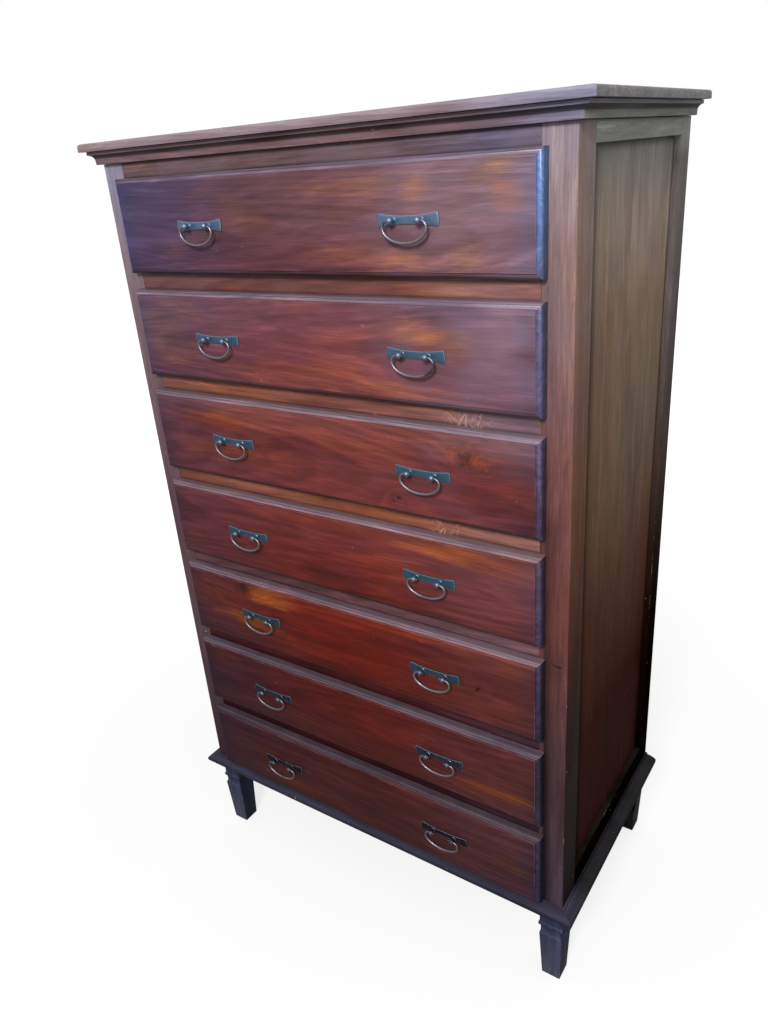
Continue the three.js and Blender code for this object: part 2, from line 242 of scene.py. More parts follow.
def cutWith(piece, cutter):
    boolean = piece.modifiers.new("cut", "BOOLEAN")
    boolean.operation = "DIFFERENCE"
    boolean.object = cutter
    makeActive(piece)
    bpy.ops.object.modifier_apply(modifier="cut")
    bpy.data.objects.remove(cutter)


# A copy with its own mesh, moved by offset in the mesh
def copyTo(piece, name, offset, mirrored=False):
    makeActive(piece)
    bpy.ops.object.duplicate()
    twin = named(bpy.context.object, name)
    twin.data.transform(Matrix.Translation(offset))
    if mirrored:
        twin.data.transform(Matrix.Scale(-1, 4, (1, 0, 0)))
        faceOutward(twin)
    return twin


# Points of a quarter ellipse round a middle, from one angle to another in degrees
def arcPoints(middle, across, rise, start, end, steps):
    points = []
    for step in range(steps + 1):
        angle = math.radians(start + (end - start) * step / steps)
        points.append((middle[0] + across * math.cos(angle), middle[1] + rise * math.sin(angle)))
    return points


# Board coordinates kept on the vertices: first along the grain, then through the thickness, then
# across the width, all from the middle of the board. Each board has a number of its own, and the
# faces across its grain are marked as end grain.
def layGrain(piece, ways, board):
    mesh = piece.data
    order = ["xyz".index(way) for way in ways]
    order.append(3 - sum(order))
    low = [min(vertex.co[axis] for vertex in mesh.vertices) for axis in range(3)]
    high = [max(vertex.co[axis] for vertex in mesh.vertices) for axis in range(3)]
    for name, kind in (("grain", "FLOAT_VECTOR"), ("board", "FLOAT")):
        if name not in mesh.attributes:
            mesh.attributes.new(name, kind, "POINT")
    grain = mesh.attributes["grain"]
    number = mesh.attributes["board"]
    for vertex in mesh.vertices:
        place = [vertex.co[axis] - (low[axis] + high[axis]) / 2 for axis in order]
        grain.data[vertex.index].vector = place
        number.data[vertex.index].value = board
    markFaces(piece, "endGrain", 1.0, lambda face: abs(face.normal[order[0]]) > 0.8)
    return piece


def smoothed(piece, degrees=32):
    makeActive(piece)
    bpy.ops.object.shade_smooth_by_angle(angle=math.radians(degrees))
    return piece


def settle(piece, body, slot, finish, *nodes):
    piece.data.materials.clear()
    piece.data.materials.append(finishes[finish])
    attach(piece, body)
    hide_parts(*nodes)


# Node trees: each node goes into the tree that was begun last

wiring = {}


def newNode(kind):
    return wiring["tree"].nodes.new("ShaderNode" + kind)


def feed(socket, value):
    if isinstance(value, bpy.types.NodeSocket):
        wiring["tree"].links.new(value, socket)
    elif value is not None:
        socket.default_value = value


def maths(operation, first, second=None, third=None):
    node = newNode("Math")
    node.operation = operation
    for socket, value in zip(node.inputs, (first, second, third)):
        feed(socket, value)
    return node.outputs[0]


def times(first, second):
    return maths("MULTIPLY", first, second)


# A base with a share of a mark added to it
def plus(base, mark, share):
    return maths("MULTIPLY_ADD", mark, share, base)


# A value made less by a share of a mark
def dimmed(value, mark, share):
    return times(value, plus(1.0, mark, -share))


def restOf(share):
    return maths("SUBTRACT", 1.0, share)


# One value out of many, two at a time
def gathered(operation, values):
    whole = None
    for value in values:
        whole = value if whole is None else maths(operation, whole, value)
    return whole


def largest(values):
    return gathered("MAXIMUM", values)


def vectorMaths(operation, first, second=None, scale=None):
    node = newNode("VectorMath")
    node.operation = operation
    feed(node.inputs[0], first)
    feed(node.inputs[1], second)
    feed(node.inputs[3], scale)
    return node.outputs[1 if operation == "LENGTH" else 0]


def shifted(place, way, scale):
    return vectorMaths("ADD", place, vectorMaths("SCALE", way, scale=scale))


def axesOf(vector):
    node = newNode("SeparateXYZ")
    feed(node.inputs[0], vector)
    return node.outputs


# Which way the surface looks, as x, y and z
def facingOf():
    return axesOf(newNode("NewGeometry").outputs["Normal"])


def noiseOf(place, stretch, detail=2.0, roughness=0.5, output="Fac"):
    node = newNode("TexNoise")
    feed(node.inputs["Vector"], vectorMaths("MULTIPLY", place, stretch))
    node.inputs["Scale"].default_value = 1.0
    node.inputs["Detail"].default_value = detail
    node.inputs["Roughness"].default_value = roughness
    return node.outputs[output]


def rangeOf(value, low, high, first=0.0, last=1.0):
    node = newNode("MapRange")
    node.interpolation_type = "SMOOTHSTEP"
    for label, number in (("Value", value), ("From Min", low), ("From Max", high),
                          ("To Min", first), ("To Max", last)):
        feed(node.inputs[label], number)
    return node.outputs["Result"]


def mixOf(share, first, second, blend="MIX"):
    node = newNode("Mix")
    node.data_type = "RGBA"
    node.blend_type = blend
    feed(node.inputs[0], share)
    feed(node.inputs[6], first)
    feed(node.inputs[7], second)
    return node.outputs[2]


def attributeOf(name, output="Fac"):
    node = newNode("Attribute")
    node.attribute_name = name
    return node.outputs[output]


def newGroup(name, inputs, outputs):
    tree = bpy.data.node_groups.new(name, "ShaderNodeTree")
    wiring["tree"] = tree
    for label, value in inputs.items():
        kind = "NodeSocketVector" if isinstance(value, tuple) else "NodeSocketFloat"
        tree.interface.new_socket(name=label, in_out="INPUT", socket_type=kind).default_value = value
    for label in outputs:
        tree.interface.new_socket(name=label, in_out="OUTPUT", socket_type="NodeSocketFloat")
    return tree, tree.nodes.new("NodeGroupInput").outputs, tree.nodes.new("NodeGroupOutput").inputs


def placeGroup(group, values):
    node = newNode("Group")
    node.node_tree = group
    for label, value in values.items():
        feed(node.inputs[label], value)
    return node.outputs


def newFinish(name):
    finish = bpy.data.materials.new(name)
    finish.use_nodes = True
    wiring["tree"] = finish.node_tree
    return finish, finish.node_tree.nodes["Principled BSDF"]


def raiseBy(shader, height, strength, distance):
    bump = newNode("Bump")
    bump.inputs["Strength"].default_value = strength
    bump.inputs["Distance"].default_value = distance
    feed(bump.inputs["Height"], height)
    feed(shader.inputs["Normal"], bump.outputs["Normal"])


# A colour as it looks on a screen, from its hex number
def tint(code):
    shares = [int(code[place:place + 2], 16) / 255 for place in (0, 2, 4)]
    return [((s + 0.055) / 1.055) ** 2.4 if s > 0.04045 else s / 12.92 for s in shares] + [1.0]


print("stage: helpers ready")


# Shared effects. A noise is given as how often it changes in a metre each way, its detail and its
# roughness. Levels say between which two values of a noise an effect sets in.

figurePlan = {
    "apart": 9.0, "drift": ((1.6, 7, 7), 2.0, 0.5), "pithAside": 0.14, "ringNoise": ((3.0, 60, 60),),
    "ringNoiseShare": 0.9, "ringStart": (0.0, 0.78), "ringEnd": (0.84, 1.0, 1.0, 0.0),
    "streaks": ((3.0, 52, 52), 4.0, 0.6), "flame": ((9, 120, 120), 3.0, 0.55), "flameDrift": 0.16,
    "fibre": ((22, 900, 900), 3.0, 0.6), "pores": ((60, 1500, 1500), 1.0), "poreLevels": (0.62, 0.74),
    "cloud": ((4.5, 14, 14), 3.0, 0.55), "patches": ((8, 16, 16),), "patchesApart": (4.1, 2.3, 7.7),
}


# Growth rings, streaks, fine fibres, pores and clouds of a board, from its board coordinates
def makeWoodFigure():
    plan = figurePlan
    tree, given, out = newGroup("wood figure", {
        "Place": (0, 0, 0), "Board": 0.0, "Ring Width": 0.007, "Pith Depth": 0.08, "Lean": 0.12,
        "Wander": 0.012, "Push": 0.0,
    }, ("Rings", "Streaks", "Flame", "Fibre", "Pores", "Cloud", "Patches"))
    chance = newNode("TexWhiteNoise")
    chance.noise_dimensions = "1D"
    feed(chance.inputs["W"], given["Board"])
    chances = axesOf(chance.outputs["Color"])
    far = shifted(given["Place"], chance.outputs["Color"], plan["apart"])
    drift = vectorMaths("SUBTRACT", noiseOf(far, *plan["drift"], "Color"), (0.5, 0.5, 0.5))
    along, through, aside = axesOf(shifted(given["Place"], drift, given["Wander"]))
    lean = times(maths("SUBTRACT", chances[2], 0.5), given["Lean"])
    depth = times(given["Pith Depth"], maths("ADD", chances[0], 0.5))
    through = maths("ADD", through, plus(depth, along, lean))
    aside = plus(aside, maths("SUBTRACT", chances[1], 0.5), plan["pithAside"])
    squares = maths("ADD", maths("POWER", through, 2.0), maths("POWER", aside, 2.0))
    radius = maths("ADD", maths("SQRT", squares), given["Push"])
    count = maths("DIVIDE", radius, given["Ring Width"])
    phase = maths("FRACT", plus(count, noiseOf(far, *plan["ringNoise"]), plan["ringNoiseShare"]))
    ring = times(rangeOf(phase, *plan["ringStart"]), rangeOf(phase, *plan["ringEnd"]))
    flameward = shifted(far, drift, plan["flameDrift"])
    elsewhere = vectorMaths("ADD", far, plan["patchesApart"])
    for label, value in (
            ("Rings", ring),
            ("Streaks", noiseOf(far, *plan["streaks"])),
            ("Flame", noiseOf(flameward, *plan["flame"])),
            ("Fibre", noiseOf(far, *plan["fibre"])),
            ("Pores", rangeOf(noiseOf(far, *plan["pores"]), *plan["poreLevels"])),
            ("Cloud", noiseOf(far, *plan["cloud"])),
            ("Patches", noiseOf(elsewhere, *plan["patches"]))):
        feed(out[label], value)
    return tree


knotPlan = {
    "squash": (0.72, 0.0, 1.0), "noise": ((70, 70, 70), 2.0, 0.5), "ragged": 0.022,
    "eyeLevels": (0.15, 0.9, 1.0, 0.0), "push": 1.5,
}


# One knot: a dark eye, and how far it pushes the rings aside
def makeKnot():
    tree, given, out = newGroup("knot", {"Place": (0, 0, 0), "Middle": (0, 0, 0), "Size": 0.01},
                                ("Eye", "Push"))
    away = vectorMaths("SUBTRACT", given["Place"], given["Middle"])
    away = vectorMaths("MULTIPLY", away, knotPlan["squash"])
    ragged = noiseOf(given["Place"], *knotPlan["noise"], "Color")
    away = shifted(away, vectorMaths("SUBTRACT", ragged, (0.5, 0.5, 0.5)), knotPlan["ragged"])
    reach = maths("DIVIDE", vectorMaths("LENGTH", away), given["Size"])
    feed(out["Eye"], rangeOf(reach, *knotPlan["eyeLevels"]))
    swell = maths("DIVIDE", 1.0, plus(1.0, reach, reach))
    feed(out["Push"], times(swell, times(given["Size"], knotPlan["push"])))
    return tree


wearPlan = {
    "noise": ((26, 26, 26), 4.0, 0.7), "least": 0.78, "byAmount": 0.5, "soft": 0.14,
    "specks": ((95, 95, 95), 2.0, 0.6), "speckLevels": (0.7, 0.76),
    "places": ((9, 9, 9), 1.0), "placeLevels": (0.5, 0.66),
}


# Where an arris has lost its colour, from the marks on the faces and a ragged noise
def makeWear():
    plan = wearPlan
    tree, given, out = newGroup("arris wear", {"Place": (0, 0, 0), "Marks": 0.0, "Amount": 0.5},
                                ("Worn", "Nicks"))
    rough = noiseOf(given["Place"], *plan["noise"])
    level = maths("SUBTRACT", plan["least"], times(given["Amount"], plan["byAmount"]))
    worn = rangeOf(rough, level, maths("ADD", level, plan["soft"]))
    feed(out["Worn"], times(worn, given["Marks"]))
    specks = noiseOf(given["Place"], *plan["specks"])
    places = rangeOf(noiseOf(given["Place"], *plan["places"]), *plan["placeLevels"])
    feed(out["Nicks"], times(places, rangeOf(specks, *plan["speckLevels"])))
    return tree


dustPlan = {
    "upward": (0.35, 0.95), "noise": ((16, 16, 16), 4.0, 0.65), "levels": (0.3, 0.7),
    "least": 0.3, "byNoise": 0.7, "rubbing": ((240, 14, 240),), "rubbingLevels": (0.45, 0.75),
}


# Dust that lies on what looks up, and fine rubbing marks
def makeDust():
    plan = dustPlan
    tree, given, out = newGroup("dust", {"Place": (0, 0, 0), "Amount": 0.3}, ("Dust", "Rubbing"))
    upward = rangeOf(facingOf()[2], *plan["upward"])
    patches = rangeOf(noiseOf(given["Place"], *plan["noise"]), *plan["levels"])
    lying = times(upward, plus(plan["least"], patches, plan["byNoise"]))
    feed(out["Dust"], times(lying, given["Amount"]))
    rubbing = noiseOf(given["Place"], *plan["rubbing"])
    feed(out["Rubbing"], rangeOf(rubbing, *plan["rubbingLevels"]))
    return tree


glowPlan = {"noise": ((12, 12, 70), 3.0, 0.6), "ragged": 2.2, "levels": (0.2, 1.25, 1.0, 0.0)}


# A soft flat area round one place, with a ragged edge along the grain
def makeGlow():
    tree, given, out = newGroup("glow", {"Place": (0, 0, 0), "Middle": (0, 0, 0), "Reach": (10, 0, 60)},
                                ("Glow",))
    away = vectorMaths("SUBTRACT", given["Place"], given["Middle"])
    away = vectorMaths("LENGTH", vectorMaths("MULTIPLY", away, given["Reach"]))
    ragged = maths("SUBTRACT", noiseOf(given["Place"], *glowPlan["noise"]), 0.5)
    feed(out["Glow"], rangeOf(plus(away, ragged, glowPlan["ragged"]), *glowPlan["levels"]))
    return tree


scuffPlan = {
    "fade": (0.5, 1.0, 1.0, 0.0), "turns": (0.8, -0.6, 1.3), "noise": ((34, 34, 420), 1.0),
    "levels": (0.62, 0.68), "share": 0.7,
}


# Pale crossing scratches round one place
def makeScuffs():
    plan = scuffPlan
    tree, given, out = newGroup("scuffs", {"Place": (0, 0, 0), "Middle": (0, 0, 0), "Size": 0.04},
                                ("Scratches",))
    away = vectorMaths("SUBTRACT", given["Place"], given["Middle"])
    away = vectorMaths("MULTIPLY", away, (1.0, 0.0, 1.0))
    reach = maths("DIVIDE", vectorMaths("LENGTH", away), given["Size"])
    close = rangeOf(reach, *plan["fade"])
    marks = []
    for turn in plan["turns"]:
        rotate = newNode("VectorRotate")
        rotate.rotation_type = "Y_AXIS"
        feed(rotate.inputs["Vector"], away)
        rotate.inputs["Angle"].default_value = turn
        marks.append(rangeOf(noiseOf(rotate.outputs[0], *plan["noise"]), *plan["levels"]))
    feed(out["Scratches"], times(times(largest(marks), close), plan["share"]))
    return tree


woodFigure = makeWoodFigure()
knotFigure = makeKnot()
arrisWear = makeWear()
scuffMarks = makeScuffs()
softGlow = makeGlow()
dustFilm = makeDust()


# Finishes

# Knots that show in the third and fifth fronts: across the chest, height and size
frontKnots = [(0.234, 0.897, 0.015), (0.128, 0.826, 0.008), (-0.205, 0.6, 0.022), (0.242, 0.549, 0.008)]
postKnots = [(0.353, 0.615, 0.007)]
# Areas where the varnish is thin and glows amber, drawer by drawer: across the chest, height,
# half length and half height
frontGlows = [
    (0.09, 1.222, 0.1, 0.014), (0.09, 1.143, 0.1, 0.018),
    (0.0, 0.987, 0.15, 0.018), (0.215, 1.045, 0.05, 0.018),
    (0.21, 0.918, 0.14, 0.016), (-0.14, 0.852, 0.14, 0.03), (-0.17, 0.905, 0.11, 0.018),
    (0.25, 0.765, 0.12, 0.026), (0.0, 0.762, 0.14, 0.014),
    (0.13, 0.608, 0.12, 0.015), (-0.25, 0.565, 0.09, 0.03), (-0.19, 0.6, 0.06, 0.022),
    (-0.02, 0.515, 0.18, 0.02), (-0.1, 0.602, 0.2, 0.02),
    (0.1, 0.4, 0.12, 0.016), (0.25, 0.37, 0.11, 0.018),
    (0.27, 0.23, 0.1, 0.016), (-0.24, 0.245, 0.08, 0.018),
]
# Smaller areas where it is nearly gone and the wood shows orange
frontClears = [
    (0.18, 1.211, 0.026, 0.022), (0.296, 1.204, 0.02, 0.018), (0.17, 1.133, 0.05, 0.012),
    (0.17, 1.055, 0.05, 0.014), (0.14, 0.974, 0.1, 0.013),
    (-0.22, 0.9, 0.06, 0.016), (0.225, 0.9, 0.04, 0.012),
    (0.17, 0.76, 0.07, 0.016),
    (-0.15, 0.598, 0.06, 0.02), (-0.2, 0.54, 0.08, 0.014),
    (0.26, 0.372, 0.07, 0.01),
]
railGlows = [(0.19, 1.105, 0.08, 0.03), (-0.15, 0.947, 0.12, 0.03), (0.07, 0.79, 0.12, 0.03)]
# Crossing pale scratches on the second and third rail: across the chest, height and size
railScuffs = [(0.229, 0.955, 0.045), (0.19, 0.79, 0.03)]

# The framed sides: rear post, rails, and the boards of the panel
framePlan = {
    "rearDepth": 0.041, "railThick": 0.022, "topRail": 0.0226, "lowRail": 0.038, "arris": 0.001,
    "panelOut": 0.009, "panelThick": 0.008, "panelBoards": 4, "panelSeam": 0.0005, "inFrame": 0.007,
    "panelInPost": 0.008, "panelInRear": 0.002, "rabbet": 0.012, "rabbetDepth": 0.0063,
}

rowHeights = (0.24, 0.4, 0.555, 0.71, 0.87, 1.03, 1.2)


# One tone for each row of drawers, from the lowest up
def rowTones(codes):
    return ", ".join(f"{height} {code}" for height, code in zip(rowHeights, codes.split()))


# Tones are colours by the height on the chest: the finish is darkest and reddest low down, partly its
# own colour and partly painted shade as if lit from above, and a pale painted sheen lies on the upper
# part. Amber and stain are strengths for the colour below.
# A pair of numbers with the name of a place says between which places an effect grows.
commonLook = {
    "edgeTones": "0.2 2a1a18, 1.2 7c7064",
    "endTones": "0.2 2c2024, 1.2 5c4c50",
    "leftAcross": (-0.04, -0.3), "leftShare": 0.92, "mouldedShare": 0.85, "endShare": 0.9,
    "amberShare": 0.5, "stainShare": 0.5, "sheenHeights": (0.9, 1.25), "sheenShare": 0.3, "dust": "8d7f86",
    "dustAmount": 0.2, "ringWidth": 0.005, "pithDepth": 0.1, "lean": 0.1, "wander": 0.02,
    "ringShare": 0.25, "streaks": (0.78, 1.2), "flame": 1.2, "fibre": (0.82, 1.17), "poreShare": 0.35,
    "knotShare": 0.65, "roughness": (0.34, 0.5), "rubbedDull": 0.06, "dustyDull": 0.3, "specular": 0.24,
    "specularHeights": (0.5, 1.1), "coat": (0.0, 0.2), "coatHeights": (0.5, 1.25),
    "coatRoughness": 0.28, "wear": 0.5, "wornShare": 0.5, "nicks": 0.8,
    "glowOffMoulding": 0.8, "woodBetweenRings": 1.1,
    "bump": (0.5, 0.0004), "knots": [], "glows": [], "scuffs": [],
    "relief": {"Fibre": 0.35, "Rings": -0.3, "Pores": -0.5, "Cloud": 2.5, "Nicks": -1.5},
}
woodLooks = {
    "front wood": {
        "tones": rowTones("4a1f20 551a16 62180b 702b2a 7a3a3a 7c4148 6c424a"),
        # The right tones are painted sheen, and the left tones painted shade
        "rightSheenTones": rowTones("502c32 582a2c 5e2a28 6e383a 642a2a 7e5560 7a585e"),
        "leftShading": "0.2 3e1c28, 0.4 401c2e, 0.6 5e2e38, 0.9 6e3a46, 1.02 664862, 1.2 3e366a",
        # The edge tones are partly painted sheen, and the bluish end tones a painted reflection of cool
        # light
        "edgeTones": rowTones("44323e 5a505e 6e5e6e 8e7480 7e6a7a 80707f 6e5e70"),
        "endTones": "0.24 3a3750, 0.4 2e2a3e, 0.555 2c2b42, 0.71 403f5a, 0.87 564c6a, "
                    "1.03 5e6088, 1.12 5c668e, 1.2 6a92d0",
        "clearTones": rowTones("563018 6c341c 8c4620 8e4a30 803a2a a66040 965e42"),
        "clears": frontClears, "clearShare": 0.8, "litLowHalf": (0.7, 0.3, 1.0, 1.14),
        "endsDarker": (0.6, 0.85, 1.25), "endAcross": (0.285, 0.335), "endsDarkerShare": 0.8,
        "amber": (1.5, 1.5, 0.7), "amberShare": 0.7, "stain": (0.5, 0.42, 0.62), "stainShare": 0.65,
        "sheen": "9a8eae", "sheenHeights": (0.6, 1.15), "sheenShare": 0.27,
        "sheenAcross": (0.0, 0.32, 0.1, 1.0), "rightAcross": (0.05, 0.26),
        "litRightward": (-0.25, 0.3, 0.94, 1.1), "glows": frontGlows, "bare": "a08c94",
        "ringWidth": 0.0055, "lean": 0.12, "wander": 0.014, "ringShare": 0.26, "flame": 1.3,
        "roughness": (0.28, 0.42), "specular": 0.3, "coat": (0.02, 0.3), "coatRoughness": 0.2,
        "wear": 0.7, "wornShare": 0.35, "nicks": 0.4, "knots": frontKnots,
    },
    "post wood": {
        "tones": "0.2 4a3c4a, 0.26 4e3c46, 0.475 563a40, 0.71 70423f, 0.92 845a56, "
                 "1.1 866a6c, 1.24 988a96",
        # The left tones, paler on the left post, are painted light
        "leftShading": "0.2 402430, 0.26 46343c, 0.475 644e56, 0.71 705260, 0.92 7e6672, "
                     "1.1 8a7078, 1.24 9a96b2",
        # The side tones, near black low down, are painted shade
        "sideShading": "0.2 120304, 0.5 240a09, 0.65 4c2418, 0.87 7c5240, 1.2 86726c",
        # Painted shadow beside the right ends of the drawers
        "shadowBesideLips": {"reach": 0.015, "behind": 0.004, "share": 0.75, "heights": (1.1, 0.45)},
        "edgeTones": "0.2 3a2c34, 1.2 7c7078",
        "amber": (1.3, 1.15, 0.85), "stain": (0.7, 0.62, 0.7), "sheen": "a89aa4", "bare": "c4aa9c",
        "ringWidth": 0.004, "pithDepth": 0.3, "lean": 0.04, "wander": 0.008, "ringShare": 0.12,
        "flame": 1.15, "wear": 0.38, "wornShare": 0.8, "nicks": 0.9, "knots": postKnots,
    },
    "rail wood": {
        "tones": "0.3 2e0c14, 0.47 48181e, 0.63 6c484e, 0.79 8e5646, 0.95 925a50, 1.1 74423e, "
                 "1.25 664e54",
        # The right tones are painted sheen
        "rightSheenTones": "0.3 36222e, 0.47 442a38, 0.63 785862, 0.79 96665e, 0.95 866c78, "
                      "1.1 946460, 1.25 605876",
        # Painted shade: a dark line just above the lips of the drawers
        "rightAcross": (0.1, 0.3), "shadeAboveLips": {"reach": 0.004, "share": 0.6}, "glows": railGlows,
        "edgeTones": "0.2 4a2c30, 1.2 6e5a60",
        "amber": (1.5, 1.35, 0.75), "stain": (0.5, 0.42, 0.5), "sheen": "8e7a84", "bare": "b88a68",
        "flame": 1.3, "wornShare": 0.6, "scuffs": railScuffs, "scratch": "cfa092",
    },
    "top wood": {
        # The upper face, from 1.289 up, is paler as painted light from above; the bluish right tones and
        # the side tones are painted sheen
        "tones": "1.27 72545a, 1.2885 72545a, 1.289 866a74, 1.296 9a848c, 1.3 9e8c92",
        "rightSheenTones": "1.27 908ca8, 1.2885 848098, 1.289 8888a8, 1.3 a4a4bc",
        "rightAcross": (0.2, 0.37), "sheenOverEdges": True,
        "sideShading": "1.27 8a887e, 1.2885 74726a, 1.289 868488, 1.3 929096",
        "edgeTones": "1.27 826268, 1.2885 785c60, 1.289 866a74, 1.3 9c888e",
        "endTones": "1.27 6a6466, 1.3 8a8688",
        "amber": (1.2, 1.1, 0.85), "stain": (0.66, 0.6, 0.66), "stainShare": 0.4, "sheen": "a8a0ac",
        "sheenHeights": (1.26, 1.3), "bare": "c8b8ac", "dust": "9a8e92", "ringWidth": 0.006,
        "roughness": (0.32, 0.48), "coat": (0.1, 0.2), "wear": 0.25, "wornShare": 0.7, "nicks": 0.6,
        "dustAmount": 0.3,
    },
    "panel wood": {
        # Much of the rise from dark low down to pale at the top is painted light and shade
        "tones": "0.2 381a18, 0.3 3a1a16, 0.44 421a12, 0.65 603a2c, 0.855 80644e, "
                 "1.035 8e7460, 1.15 aa9680, 1.2 9e9286, 1.24 90908a",
        "rearShading": "0.2 331613, 0.3 371813, 0.44 3b160e, 0.65 644437, 0.855 826f5e, "
                     "1.035 907c6a, 1.15 ac9988, 1.2 a2968e, 1.24 969897",
        "rearAcross": (0.06, 0.25), "streaks": (0.88, 1.1),
        "endTones": "0.2 241614, 1.2 5c5048",
        "amber": (1.18, 1.08, 0.86), "amberShare": 0.4, "stain": (0.62, 0.55, 0.55), "stainShare": 0.55,
        "sheen": "948a80", "sheenHeights": (1.0, 1.25), "sheenShare": 0.25, "bare": "b49c84",
        "dust": "8d857a", "ringWidth": 0.009, "pithDepth": 0.14, "ringShare": 0.05, "flame": 1.12,
        "roughness": (0.42, 0.56), "specular": (0.03, 0.06), "coat": (0.0, 0.12), "coatRoughness": 0.32,
        "wornShare": 0.25, "nicks": 0.5,
        # Painted shade, with some grime, along the recessed edges
        "shadeAndGrime": {"afterPost": 0.02, "behindPost": 0.046, "beforeRear": 0.012, "underRail": 0.012,
                  "share": 0.72},
    },
    "frame wood": {
        # Much of the rise from near black low down to pale at the top is painted light and shade
        "tones": "0.172 080303, 0.21 0a0403, 0.35 100706, 0.5 150b08, 0.65 2c201d, "
                 "0.8 50423d, 1.03 6c6262, 1.15 706868, 1.22 7a7474, 1.25 a8aca6",
        "endTones": "0.2 241614, 1.2 5c5048",
        "amber": (1.2, 1.1, 0.8), "stain": (0.66, 0.6, 0.6), "sheen": "948e8a",
        "sheenHeights": (1.0, 1.25), "sheenShare": 0.25, "bare": "b4a494", "dust": "8d857a",
        "pithDepth": 0.14, "lean": 0.06, "wander": 0.01, "ringShare": 0.14, "roughness": (0.46, 0.6),
        "specular": (0.0, 0.07), "coat": (0.0, 0.12), "coatRoughness": 0.32, "wear": 0.45,
        "wornShare": 0.2, "nicks": 0.7, "dustAmount": 0.05,
    },
    "base wood": {
        # The side tones and the near black rear tones are painted shade
        "tones": "0.0 62667e, 0.06 4c5068, 0.1 404462, 0.143 343652, 0.172 3e3c4e",
        "sideShading": "0.0 30324a, 0.1 2c2e46, 0.143 2c2c38, 0.172 34343a",
        "rearShading": "0.0 050303, 0.13 060404, 0.143 0c0c0e, 0.172 0e0c10",
        "rearAcross": (0.01, 0.07),
        "edgeTones": "0.14 1e1c2c, 0.172 3a384a",
        "endTones": "0.0 1c1a20, 0.172 2c2a38",
        "amber": (1.2, 1.0, 0.8), "amberShare": 0.4, "stain": (0.5, 0.5, 0.56), "sheen": "6a6878",
        "sheenHeights": (0.1, 0.0), "sheenShare": 0.2, "bare": "a49a9c", "dust": "8a8690",
        "ringWidth": 0.007, "lean": 0.08, "wander": 0.012, "ringShare": 0.2, "roughness": (0.36, 0.52),
        "specular": 0.16, "coat": 0.05, "coatRoughness": 0.26, "wear": 0.55, "dustAmount": 0.06,
    },
    "bare wood": {
        "tones": "0.2 a98a66, 1.2 b29270",
        "edgeTones": "0.2 a98a66, 1.2 b29270",
        "endTones": "0.2 7e6044, 1.2 846648",
        "amber": (1.15, 1.05, 0.85), "amberShare": 0.6, "stain": (0.7, 0.66, 0.6), "sheen": "b09c80",
        "sheenHeights": (0.2, 1.2), "sheenShare": 0.1, "bare": "c8aa84", "dust": "a89c8a",
        "ringWidth": 0.009, "pithDepth": 0.09, "lean": 0.12, "ringShare": 0.35, "flame": 1.15,
        "roughness": (0.62, 0.8), "specular": 0.25, "coat": 0.0, "coatRoughness": 0.4, "wear": 0.3,
        "nicks": 0.5, "dustAmount": 0.3,
    },
}


# Between which values of the figure or of a facing a part of the finish sets in
levels = {
    "left": (0.3, 0.6, 1.0, 0.8), "sideways": (0.5, 0.75), "patches": (0.5, 0.72), "shade": (0.5, 0.3),
    "streaks": (0.3, 0.7), "flame": (0.42, 0.68, 0.92), "fibre": (0.3, 0.7),
    "sheen": (0.6, 0.38, 0.05, 1.0), "gloss": (0.25, 0.75),
}


# A colour by the height on the chest
def toneBy(height, tones):
    node = newNode("ValToRGB")
    pairs = [stop.split() for stop in tones.split(", ")]
    stops = [(float(place), code) for place, code in pairs]
    ramp = node.color_ramp.elements
    for element, (place, code) in zip(ramp, (stops[0], stops[-1])):
        element.position = place / caseHeight
        element.color = tint(code)
    for place, code in stops[1:-1]:
        ramp.new(place / caseHeight).color = tint(code)
    feed(node.inputs["Fac"], maths("DIVIDE", height, caseHeight))
    return node.outputs["Color"]


# A value that is the same all over, or one that goes from its first to its last between two heights
def byHeight(height, heights, value):
    return rangeOf(height, *heights, *value) if isinstance(value, tuple) else value


# Soft areas, each as across the chest, height, half length and half height
def glowsOf(place, areas):
    glows = []
    for x, z, halfLength, halfHeight in areas:
        values = {"Place": place, "Middle": (x, 0.0, z), "Reach": (1 / halfLength, 0.0, 1 / halfHeight)}
        glows.append(placeGroup(softGlow, values)["Glow"])
    return glows


